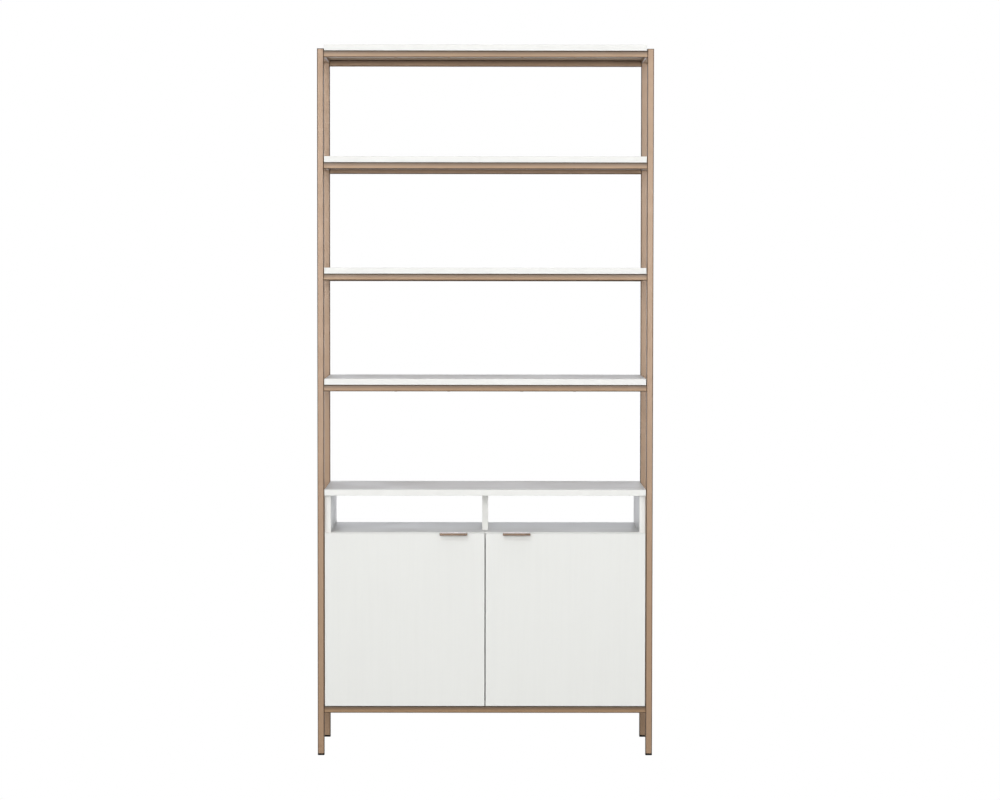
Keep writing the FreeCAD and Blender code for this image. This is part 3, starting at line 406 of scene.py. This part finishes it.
def new_laminate(name, turn, light=WHITE, dark=GREYER, density=60.0, front=None):
    """Laminate with its grain turned by degrees about X, Y and Z, and banded at its front if asked."""
    material, place = new_surface(name, metallic=0.0, rough=(0.38, 0.50), patches=3.0,
                                  relief=(1100.0, 0.08))
    tree = material.node_tree
    mapping = tree.nodes.new("ShaderNodeMapping")
    mapping.inputs["Rotation"].default_value = [math.radians(angle) for angle in turn]
    tree.links.new(place, mapping.inputs["Vector"])
    streak = add_group(tree, grain, mapping.outputs["Vector"], Light=(*light, 1), Dark=(*dark, 1),
                       Density=density)
    colour = streak.outputs["Color"]
    if front is not None:
        parts = tree.nodes.new("ShaderNodeSeparateXYZ")
        ahead = tree.nodes.new("ShaderNodeMath")
        ahead.operation = "LESS_THAN"
        ahead.inputs[1].default_value = front + BAND
        banded = tree.nodes.new("ShaderNodeMix")
        banded.data_type = "RGBA"
        banded.inputs["B"].default_value = (*BAND_WHITE, 1)
        tree.links.new(place, parts.inputs["Vector"])
        tree.links.new(parts.outputs["Y"], ahead.inputs[0])
        tree.links.new(ahead.outputs["Value"], banded.inputs["Factor"])
        tree.links.new(colour, banded.inputs["A"])
        colour = banded.outputs["Result"]
    paint(material, colour)
    return material


laminate_along_x = new_laminate("white_laminate_wide", ALONG_X)
laminate_along_z = new_laminate("white_laminate_tall", ALONG_Z)
carcass_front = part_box("side_panel_left")[0][1]
side_white = new_laminate("side_panel_white", ALONG_Z, front=carcass_front)
floor_white = new_laminate("floor_white", ALONG_X, front=carcass_front)
inner_white = new_laminate("inner_shelf_white", ALONG_X, front=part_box("inner_shelf")[0][1])
print("laminates:", laminate_along_x.name, laminate_along_z.name, side_white.name, floor_white.name)

# %% Doors, back board, edge banding and the painted shade under the shelves
door_white = new_laminate("door_white", ALONG_Z, (0.80, 0.805, 0.775), (0.785, 0.79, 0.76), density=80.0)
back_white = new_laminate("back_board_white", ALONG_Z, (0.74, 0.74, 0.72), (0.70, 0.70, 0.68), density=40.0)
edge_white = new_finish("edge_banding", BAND_WHITE, (0.80, 0.80, 0.77), metallic=0.0,
                        rough=(0.34, 0.44), patches=30.0, relief=(1300.0, 0.08))
# The tan finish below is painted shade for the undersides of the shelves.
underside_shade = new_finish("backing_paper", (0.56, 0.44, 0.33), (0.50, 0.39, 0.29), metallic=0.0,
                     rough=(0.60, 0.75), patches=14.0, relief=(900.0, 0.15))
set_shader(underside_shade, "Specular IOR Level", 0.0)
print("more whites:", door_white.name, back_white.name, edge_white.name, "and", underside_shade.name)


# %% Handing a finished piece over to its body
def hand_over(piece, body, replaced, material):
    """Gives a piece its finish and lets it stand for its CAD nodes."""
    piece.data.materials.clear()
    piece.data.materials.append(material)
    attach(piece, body)
    if replaced:
        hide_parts(*replaced)


print("pieces can be handed over")

# %% [markdown]
# ## The frame of square tube
# Posts, crossbars and rails are all the same 20 mm tube with 3 mm corners. Each one starts as a block in the
# box of its CAD node, its four long edges are rounded, and the rims at its ends are eased by a hair. That
# small ease draws the fine dark line that shows in the photograph wherever a rail meets a post.

# %% Tubes
CORNER = 3.0 * MM
EASE = 0.25 * MM


def make_tube(name, low, high, axis):
    """A tube along one axis. Its points store how far they lie into a corner and how high they lie."""
    piece = start_block(name, low, high)
    pick(piece, "EDGE", along(axis))
    round_picked(CORNER, segments=5)
    for end in (low[axis], high[axis]):
        pick(piece, "EDGE", lambda a, b: near(a[axis], end) and near(b[axis], end))
        round_picked(EASE, segments=2)
    smooth(piece)
    across = [i for i in range(3) if i != axis]
    corner = piece.data.attributes.new("corner", "FLOAT", "POINT")
    height = piece.data.attributes.new("height", "FLOAT", "POINT")
    for vertex in piece.data.vertices:
        height.data[vertex.index].value = (vertex.co.z - low[2]) / (high[2] - low[2])
        inward = max(min(vertex.co[i] - low[i], high[i] - vertex.co[i]) for i in across)
        corner.data[vertex.index].value = max(0.0, 1.0 - inward / CORNER)
    return piece


posts = [n for n in nodes if n.startswith("post_") and n != "post_caps"]
crossbars = [n for n in nodes if n.startswith("crossbar_")]
rails = [n for n in nodes if n.startswith(("front_rail_", "rear_rail_")) or n == "bottom_rail_rear"]
for members, axis, lacquer in ((posts, 2, champagne), (crossbars, 1, champagne), (rails, 0, champagne_rail)):
    for node in members:
        tube = make_tube("tube_" + node, *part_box(node), axis)
        hand_over(tube, FIXED, [node], lacquer)
print("tubes made:", len(posts), "posts,", len(crossbars), "crossbars,", len(rails), "rails")

# %% [markdown]
# The lowest front rail also carries four welded lugs, on which the front of the cabinet stands. They are
# small plates with rounded free corners, joined to the rail's own mesh.

# %% Lowest front rail with its lugs
TUBE = 20 * MM
LUG_X = [sign * x for sign in (-1, 1) for x in (0.110, 0.269)]
LUG_HALF, LUG_THICK, LUG_CORNER, WELD = 12 * MM, 3 * MM, 4 * MM, 1 * MM
low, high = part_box("bottom_rail_front")
rail_back = low[1] + TUBE
rail = make_tube("tube_bottom_rail_front", low, (high[0], rail_back, high[2]), 0)
lugs = []
for x in LUG_X:
    lug = start_block("lug", (x - LUG_HALF, rail_back - WELD, high[2] - LUG_THICK),
                      (x + LUG_HALF, high[1], high[2]))
    pick(lug, "EDGE", lambda a, b: along(2)(a, b) and near(a.y, high[1]))
    round_picked(LUG_CORNER, segments=4)
    smooth(lug)
    lugs.append(lug)
bpy.ops.object.select_all(action="DESELECT")
for piece in (*lugs, rail):
    piece.select_set(True)
bpy.context.view_layer.objects.active = rail
bpy.ops.object.join()
hand_over(rail, FIXED, ["bottom_rail_front"], champagne_rail)
print("lugs:", len(LUG_X))

# %% [markdown]
# ## Caps and glides
# Thin caps close the posts at the top and black glides close them at the foot. Both are square plates with
# the tube's own corners, and the glide's sole is bevelled so that it doesn't dig into a floor.

# %% Caps and glides
SOLE_BEVEL = 1 * MM
cap_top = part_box("post_caps")[1][2]
for node in posts:
    low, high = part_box(node)
    cap = make_tube("cap_" + node, (low[0], low[1], high[2]), (high[0], high[1], cap_top), 2)
    hand_over(cap, FIXED, ["post_caps"], black)
    glide = start_block("foot_" + node, (low[0], low[1], 0.0), (high[0], high[1], low[2]))
    pick(glide, "EDGE", along(2))
    round_picked(CORNER, segments=5)
    pick(glide, "EDGE", lambda a, b: near(a.z, 0.0) and near(b.z, 0.0))
    round_picked(SOLE_BEVEL)
    smooth(glide)
    hand_over(glide, FIXED, [node.replace("post", "glide")], black)
print("caps and glides:", len(posts))

# %% [markdown]
# ## Shelf boards
# A shelf is a 22 mm board with a step cut under its front edge, so that it drops over the front rail and
# can't slide out. The block is sliced level with the step, the upper part of its front face is drawn forward,
# and the strip of edge banding is a piece of its own, one millimetre thick, as it is on the real board.

# %% Shelves and their edge bands
STEP_DEEP, STEP_HIGH = 24.5 * MM, 4.0 * MM
BAND_ROUND, BOARD_EASE = 0.5 * MM, 0.3 * MM


def make_band(name, low, high):
    """Edge banding: its front edges are rounded, and the glued edges stay sharp."""
    band = start_block(name, low, high)
    pick(band, "EDGE", lambda a, b: near(a.y, low[1]) and near(b.y, low[1]))
    round_picked(BAND_ROUND, segments=4)
    smooth(band)
    hand_over(band, FIXED, [name.replace("edge_band_", "")], edge_white)


def make_shelf(node):
    low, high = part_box(node)
    step, step_back = low[2] + STEP_HIGH, low[1] + STEP_DEEP
    front = low[1] + BAND
    board = start_block("board_" + node, (low[0], step_back, low[2]), high)
    pick(board, "FACE", lambda centre, normal: True)
    bpy.ops.mesh.bisect(plane_co=(0, 0, step), plane_no=(0, 0, 1))
    bpy.ops.object.mode_set(mode="OBJECT")
    pick(board, "FACE", lambda centre, normal: normal.y < -FACING and centre.z > step)
    bpy.ops.mesh.extrude_region_move(TRANSFORM_OT_translate={"value": (0, front - step_back, 0)})
    bpy.ops.object.mode_set(mode="OBJECT")
    ease_edges(board, BOARD_EASE)
    apply_modifiers(board)
    smooth(board)
    hand_over(board, FIXED, [node], laminate_along_x)
    # Faces that point down get the tan painted shade.
    board.data.materials.append(underside_shade)
    for face in board.data.polygons:
        if face.normal.z < -FACING:
            face.material_index = 1
    make_band("edge_band_" + node, (low[0], low[1], step), (high[0], front, high[2]))


shelves = ["shelf_board_%d" % number for number in range(1, 5)]
for node in shelves:
    make_shelf(node)
print("shelves made:", len(shelves))

# %% [markdown]
# ## The cabinet's boards
# The cabinet's top and divider are plain boards with a banded front edge, so they are built like the shelves.
# The sides, floor and bottom are grooved for the back panel and drilled for shelf pins. Their CAD meshes hold
# that work already, so they stay, and live modifiers merge their loose triangles and ease the edges.

# %% Banded boards: cabinet top and divider
def make_banded_board(node, material):
    low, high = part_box(node)
    front = low[1] + BAND
    board = start_block("board_" + node, (low[0], front, low[2]), high)
    ease_edges(board, BOARD_EASE)
    apply_modifiers(board)
    smooth(board)
    hand_over(board, FIXED, [node], material)
    make_band("edge_band_" + node, low, (high[0], front, high[2]))


make_banded_board("cabinet_top", laminate_along_x)
make_banded_board("cubby_divider", laminate_along_z)
print("banded boards: cabinet top and divider")

# %% CAD boards: merged and eased by live modifiers
FLAT, SHARP = 2, 50


def dress_cad(node, material, ease=BOARD_EASE):
    """Keeps a CAD mesh, gives it a finish and, unless ease is 0, eases its edges."""
    piece = nodes[node]
    for slot in piece.material_slots:
        slot.material = material
    if ease:
        weld = piece.modifiers.new("merge", "WELD")
        weld.merge_threshold = HAIR
        flat = piece.modifiers.new("flat faces", "DECIMATE")
        flat.decimate_type = "DISSOLVE"
        flat.angle_limit = math.radians(FLAT)
        ease_edges(piece, ease, SHARP)


cad_boards = {"side_panel_left": side_white, "side_panel_right": side_white, "cubby_floor": floor_white,
              "cabinet_bottom": floor_white, "inner_shelf": inner_white, "back_panel": back_white,
              "door_left": door_white, "door_right": door_white}
for node, material in cad_boards.items():
    dress_cad(node, material)
print("CAD boards dressed:", len(cad_boards))

# %% [markdown]
# ## The folded pulls
# Each pull is one strip of bronze sheet: a lip in front to hook the fingers behind, a plate over the top of
# the door and a leaf behind it. It is made as a sheet-metal worker would: a flat sheet, folded down at both
# edges, with its folds rounded, and only then given its thickness.

# %% Pulls
SHEET, LIP_HIGH = 1.5 * MM, 7 * MM
FOLD_ROUND, SHEET_EASE = 0.8 * MM, 0.25 * MM


def make_pull(side):
    low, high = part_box("pull_" + side)
    door_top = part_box("door_" + side)[1][2]
    half = SHEET / 2
    front, back, top = low[1] + half, high[1] - half, high[2] - half
    bpy.ops.object.select_all(action="DESELECT")
    bpy.ops.mesh.primitive_plane_add(size=1, location=((low[0] + high[0]) / 2, (front + back) / 2, top))
    strip = bpy.context.object
    strip.name = strip.data.name = "folded_pull_" + side
    strip.scale = (high[0] - low[0], back - front, 1)
    bpy.ops.object.transform_apply(location=True, rotation=True, scale=True)
    for y, bottom in ((front, door_top + SHEET - LIP_HIGH), (back, low[2])):
        pick(strip, "EDGE", lambda a, b: near(a.y, y) and near(b.y, y))
        bpy.ops.mesh.extrude_region_move(TRANSFORM_OT_translate={"value": (0, 0, bottom - top)})
        bpy.ops.object.mode_set(mode="OBJECT")
    pick(strip, "EDGE", lambda a, b: along(0)(a, b) and near(a.z, top))
    round_picked(FOLD_ROUND, segments=5)
    bpy.ops.object.mode_set(mode="EDIT")
    bpy.ops.mesh.select_all(action="SELECT")
    bpy.ops.mesh.normals_make_consistent(inside=False)
    bpy.ops.object.mode_set(mode="OBJECT")
    thick = strip.modifiers.new("sheet", "SOLIDIFY")
    thick.thickness, thick.offset = SHEET, 0
    ease_edges(strip, SHEET_EASE, SHARP)
    apply_modifiers(strip)
    smooth(strip)
    hand_over(strip, "door_" + side, ["pull_" + side], bronze)
    print(strip.name, "is", round((high[0] - low[0]) / MM, 1), "mm long")


for side in SIGN:
    make_pull(side)

# %% [markdown]
# ## Hinges and hidden hardware
# The concealed hinges only show when a door stands open. The cups, goose-necked links and folded arms keep
# their CAD meshes under a nickel finish. The stubs, shelf pins and soft bumpers keep theirs too, and only the
# bumpers have their edges eased.

# %% Hinges, stubs, pins and bumpers
for side in SIGN:
    for kind in ("hinge_cups_", "hinge_links_", "hinge_arms_"):
        dress_cad(kind + side, nickel, ease=0)
dress_cad("rail_stubs", champagne, ease=0)
dress_cad("shelf_pins", nickel, ease=0)
dress_cad("door_bumpers", rubber, ease=0.5 * MM)
print("hinges, stubs, pins and bumpers dressed")

# %% [markdown]
# Screws repeat all over the piece, so one model of each kind is turned from a cylinder and then copied. A
# button head is a short cylinder with a rounded rim, a sunk socket and a shank drawn out of its seat. A set
# screw has no head at all. Twelve sides are enough for something so small. Each copy gets its own mesh and is
# turned and placed in it, so that its object stays at the origin like the others.

# %% Cutting a screw from a cylinder
SCREW_SIDES, SCREW_SMOOTH = 12, 30


def start_screw(name, radius, height):
    """A cylinder whose upper end lies on the XY plane."""
    bpy.ops.object.select_all(action="DESELECT")
    bpy.ops.mesh.primitive_cylinder_add(vertices=SCREW_SIDES, radius=radius, depth=height,
                                        location=(0, 0, -height / 2))
    screw = bpy.context.object
    screw.name = screw.data.name = name
    bpy.ops.object.transform_apply(location=True, rotation=True, scale=True)
    return screw


def sink_socket(screw, face_z, rim, depth):
    """Sinks a socket into the screw's lower end, with a rim of the given width round it."""
    pick(screw, "FACE", lambda centre, normal: normal.z < -FACING and near(centre.z, face_z))
    bpy.ops.mesh.inset(thickness=rim, depth=0)
    bpy.ops.mesh.extrude_region_move(TRANSFORM_OT_translate={"value": (0, 0, depth)})
    bpy.ops.object.mode_set(mode="OBJECT")


def round_rim(screw, face_z, radius, width):
    """Rounds the outer rim of the screw's lower end."""
    pick(screw, "EDGE", lambda a, b: all(near(p.z, face_z) and p.xy.length > 0.9 * radius for p in (a, b)))
    round_picked(width)


print("screws have", SCREW_SIDES, "sides")

# %% Screw models
SET_LENGTH = 12 * MM


def make_button_screw(name, radius, height, shank_radius, shank_length):
    """A button-head screw that points up, with the seat of its head on the XY plane."""
    screw = start_screw(name, radius, height)
    pick(screw, "FACE", lambda centre, normal: normal.z > FACING)
    bpy.ops.mesh.inset(thickness=radius - shank_radius, depth=0)
    bpy.ops.mesh.extrude_region_move(TRANSFORM_OT_translate={"value": (0, 0, shank_length)})
    bpy.ops.transform.resize(value=(0.5, 0.5, 1), center_override=(0, 0, shank_length))
    bpy.ops.object.mode_set(mode="OBJECT")
    round_rim(screw, -height, radius, 0.6 * height)
    sink_socket(screw, -height, 0.45 * radius, 0.7 * height)
    smooth(screw, SCREW_SMOOTH)
    return screw


def make_set_screw(name, radius, length):
    """A headless screw with a socket in its lower end."""
    screw = start_screw(name, radius, length)
    round_rim(screw, -length, radius, 0.1 * radius)
    sink_socket(screw, -length, 0.35 * radius, 0.8 * radius)
    smooth(screw, SCREW_SMOOTH)
    return screw


shelf_screw = make_button_screw("shelf_screw", 4.5 * MM, 0.7 * MM, 2.0 * MM, 30 * MM)
lug_screw = make_button_screw("lug_screw", 4.5 * MM, 1.2 * MM, 2.0 * MM, 14 * MM)
small_screw = make_button_screw("small_screw", 3.0 * MM, 0.8 * MM, 1.5 * MM, 9 * MM)
adjuster = make_button_screw("adjuster", 2.6 * MM, 0.6 * MM, 1.5 * MM, 9 * MM)
set_screw = make_set_screw("set_screw", 3.0 * MM, SET_LENGTH)
print("screw models:", len(shelf_screw.data.polygons), "and", len(set_screw.data.polygons), "faces")

# %% Copies of a model, and the turns that point a screw
POINTS_UP = Matrix()
POINTS_FORWARD = Matrix.Rotation(math.radians(90), 4, "X")
POINTS_OUTWARD = {side: Matrix.Rotation(math.radians(90 * sign), 4, "Y") for side, sign in SIGN.items()}


def set_in(model, name, place, turn, body, replaced, material):
    """A copy with its own mesh, turned and placed in it."""
    copy = bpy.data.objects.new(name, model.data.copy())
    bpy.context.scene.collection.objects.link(copy)
    copy.data.name = name
    copy.data.transform(Matrix.Translation(place) @ turn)
    hand_over(copy, body, replaced, material)


print("screws can be set in")

# %% [markdown]
# The screws that hold the shelves come up through the front rails, two to each side of the middle, and they
# show only as low buttons in the colour of the frame. The cabinet is held the same way, from the lugs in
# front and from the rear rail. Each rail is clamped on its stubs by a set screw from below, whose end is all
# but flush.

# %% Screws in the frame
FLUSH = 0.15 * MM
STUB_X = 472.5 * MM
front_rails = ["front_rail_%d" % n for n in range(1, 5)]
rear_rails = ["rear_rail_%d" % n for n in range(1, 5)]
# The shelf screws take the rails' darker lacquer, whose darkness is painted shade.
for rail_node in front_rails:
    low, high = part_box(rail_node)
    for number, x in enumerate(LUG_X, start=1):
        set_in(shelf_screw, "screw_%s_%d" % (rail_node, number), (x, low[1] + TUBE / 2, low[2]), POINTS_UP,
               FIXED, ["shelf_screws"], champagne_rail)
low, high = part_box("bottom_rail_front")
for number, x in enumerate(LUG_X, start=1):
    place = (x, (rail_back + high[1]) / 2, high[2] - LUG_THICK)
    set_in(lug_screw, "screw_lug_%d" % number, place, POINTS_UP, FIXED, ["cabinet_screws"], zinc)
low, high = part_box("bottom_rail_rear")
for side, x in (("left", LUG_X[1]), ("right", LUG_X[3])):
    set_in(shelf_screw, "screw_rear_%s" % side, (x, (low[1] + high[1]) / 2, low[2]), POINTS_UP, FIXED,
           ["cabinet_screws"], zinc)
for rail_node in (*front_rails, *rear_rails, "bottom_rail_front", "bottom_rail_rear"):
    low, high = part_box(rail_node)
    for side, sign in SIGN.items():
        place = (sign * STUB_X, low[1] + TUBE / 2, low[2] + SET_LENGTH - FLUSH)
        set_in(set_screw, "set_screw_%s_%s" % (rail_node, side), place, POINTS_UP, FIXED, ["frame_bolts"],
               zinc)
print("screws in the frame: 16 under shelves, 6 under the cabinet, 20 in the rails")

# %% [markdown]
# Two small screws hold each hinge cup by its ears, each mounting plate by its wings, and each pull. Two more
# on every arm are the ones a fitter turns to set the door straight.

# %% Where the screws of the doors sit
HINGE_INSET = 90 * MM
LEAF_SPREAD, LEAF_DROP = 25 * MM, 20.5 * MM
EAR_X, EAR_SPREAD = 451 * MM, 22.5 * MM
WING_Y, WING_SPREAD = -132.5 * MM, 16 * MM
PLATE, ARM_HIGH = 2.5 * MM, 15 * MM
ADJUSTERS = (-142 * MM, -120 * MM)
door_low, door_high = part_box("door_left")
hinge_heights = [door_low[2] + HINGE_INSET, door_high[2] - HINGE_INSET]
plate_face = -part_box("side_panel_left")[1][0] - PLATE
PAIR = ((1, -1), (2, 1))
print("hinge heights in metres:", [round(z, 4) for z in hinge_heights])

# %% Screws of the doors
for side, sign in SIGN.items():
    door, outward = "door_" + side, POINTS_OUTWARD[side]
    pull_low, pull_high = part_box("pull_" + side)
    pull_middle = (pull_low[0] + pull_high[0]) / 2
    for number, step in PAIR:
        place = (pull_middle + step * LEAF_SPREAD, pull_high[1], door_high[2] - LEAF_DROP)
        set_in(small_screw, "pull_screw_%s_%d" % (side, number), place, POINTS_FORWARD, door, [], nickel)
    ear_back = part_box("hinge_cups_" + side)[1][1]
    for level, middle in enumerate(hinge_heights, start=1):
        for number, step in PAIR:
            tag = "%s_%d_%d" % (side, level, number)
            place = (sign * EAR_X, ear_back, middle + step * EAR_SPREAD)
            set_in(small_screw, "ear_screw_" + tag, place, POINTS_FORWARD, door, [], nickel)
            place = (sign * plate_face, WING_Y, middle + step * WING_SPREAD)
            set_in(small_screw, "wing_screw_" + tag, place, outward, FIXED, [], nickel)
        for number, y in enumerate(ADJUSTERS, start=1):
            place = (sign * (plate_face - ARM_HIGH), y, middle)
            set_in(adjuster, "adjuster_%s_%d_%d" % (side, level, number), place, outward, FIXED, [], zinc)
for model in (shelf_screw, lug_screw, small_screw, adjuster, set_screw):
    bpy.data.objects.remove(model)
print("screws of the doors: 4 on the pulls, 8 on the cups, 16 on the arms")

# %% [markdown]
# ## The studio
# The photograph was taken from straight in front, far away and slightly above the middle, which keeps the
# uprights nearly parallel. The camera's place, aim and lens were worked out from the corners of the posts
# and the edges of the shelves. Everything stands on a plain pale floor before a white background.

# %% Camera
CAMERA_PLACE = (0.0024, -9.7882, 1.4692)
LOOKS_DOWN, TILT, SWING = 2.3542, -0.0634, -0.2479
camera_data = bpy.data.cameras.new("camera")
camera = bpy.data.objects.new("camera", camera_data)
bpy.context.scene.collection.objects.link(camera)
bpy.context.scene.camera = camera
camera_data.sensor_width = 36.0
camera_data.lens = 114.96
camera_data.clip_end = 100.0
camera.location = CAMERA_PLACE
camera.rotation_euler = [math.radians(angle) for angle in (90 - LOOKS_DOWN, TILT, SWING)]
print("camera lens:", round(camera_data.lens, 2))

# %% [markdown]
# The floor and the background are pure white to the camera, as in the photograph, but the lamps see a grey
# floor, so that it doesn't throw too much light up under the shelves. A Light Path node tells the two apart.

# %% Floor and background
FLOOR_GREY = 0.65
AMBIENT = 0.12


def white_to_camera(tree, seen_by_others, output, white_kind):
    """Mixes a shader with plain white that only the camera's own rays see."""
    path = tree.nodes.new("ShaderNodeLightPath")
    blend = tree.nodes.new("ShaderNodeMixShader")
    white = tree.nodes.new(white_kind)
    white.inputs["Color"].default_value = (1, 1, 1, 1)
    white.inputs["Strength"].default_value = 1.0
    tree.links.new(path.outputs["Is Camera Ray"], blend.inputs["Fac"])
    tree.links.new(seen_by_others.outputs[0], blend.inputs[1])
    tree.links.new(white.outputs[0], blend.inputs[2])
    tree.links.new(blend.outputs["Shader"], output.inputs["Surface"])


bpy.ops.object.select_all(action="DESELECT")
bpy.ops.mesh.primitive_plane_add(size=60, location=(0, 0, 0))
floor = bpy.context.object
floor.name = "floor"
floor_paint = bpy.data.materials.new("studio_floor")
floor_paint.use_nodes = True
floor_nodes = floor_paint.node_tree.nodes
set_shader(floor_paint, "Base Color", (FLOOR_GREY, FLOOR_GREY, FLOOR_GREY, 1))
set_shader(floor_paint, "Roughness", 1.0)
white_to_camera(floor_paint.node_tree, floor_nodes["Principled BSDF"], floor_nodes["Material Output"],
                "ShaderNodeEmission")
floor.data.materials.append(floor_paint)

world = bpy.data.worlds.new("studio_world")
bpy.context.scene.world = world
world.use_nodes = True
ambient = world.node_tree.nodes["Background"]
ambient.inputs["Color"].default_value = (0.95, 0.97, 1.0, 1)
ambient.inputs["Strength"].default_value = AMBIENT
white_to_camera(world.node_tree, ambient, world.node_tree.nodes["World Output"], "ShaderNodeBackground")
bpy.context.scene.view_settings.view_transform = "Standard"
print("floor and background: white to the camera")

# %% [markdown]
# The lights are soft and plain. A broad key comes from the upper left. Two walls of light, one to each side
# of the camera, fill the front. The white backdrop glows from behind, into the open cubby, and a weaker
# softbox hangs overhead. Two smaller ones near the camera, both taller than they are wide, put the satin
# sheen on the tube. The camera sees none of them.

# %% Lights
KEY, FRONT, BACK, SHEEN_LEFT, SHEEN_RIGHT = 0.60, 97.0, 126.0, 86.0, 84.0
OVERHEAD = 35.0
KEY_SOFTNESS = 16
COOL_WHITE = (0.94, 0.95, 1.0)


def add_lamp(data, place, target):
    """Puts a lamp in the scene and turns it towards its target."""
    lamp = bpy.data.objects.new(data.name, data)
    bpy.context.scene.collection.objects.link(lamp)
    lamp.location = place
    lamp.rotation_euler = (Vector(target) - Vector(place)).to_track_quat("-Z", "Y").to_euler()
    return lamp


def add_softbox(name, place, target, width, height, watts, color=(1, 1, 1)):
    data = bpy.data.lights.new(name, "AREA")
    data.shape, data.size, data.size_y, data.energy = "RECTANGLE", width, height, watts
    data.color = color
    add_lamp(data, place, target).visible_camera = False


sun = bpy.data.lights.new("key", "SUN")
sun.energy, sun.angle = KEY, math.radians(KEY_SOFTNESS)
add_lamp(sun, (-1.2, -5.0, 5.2), (0, 0, 0.7))
add_softbox("front_left", (-3.3, -7.0, 2.1), (-3.3, 0, 2.1), 5.6, 4.0, FRONT)
add_softbox("front_right", (3.3, -7.0, 2.1), (3.3, 0, 2.1), 5.6, 4.0, FRONT)
add_softbox("backdrop_glow", (0, 5.0, 1.8), (0, 0, 1.8), 8.0, 3.5, BACK, COOL_WHITE)
add_softbox("overhead", (0, -0.4, 4.6), (0, 0, 0), 3.0, 2.4, OVERHEAD)
add_softbox("sheen_left", (-1.3, -7.0, 1.9), (-0.4, 0, 1.6), 1.5, 2.6, SHEEN_LEFT)
add_softbox("sheen_right", (1.4, -7.0, 1.9), (0.4, 0, 1.6), 1.5, 2.4, SHEEN_RIGHT)
print("lights: key, two front walls, backdrop glow, overhead and two sheen boxes")
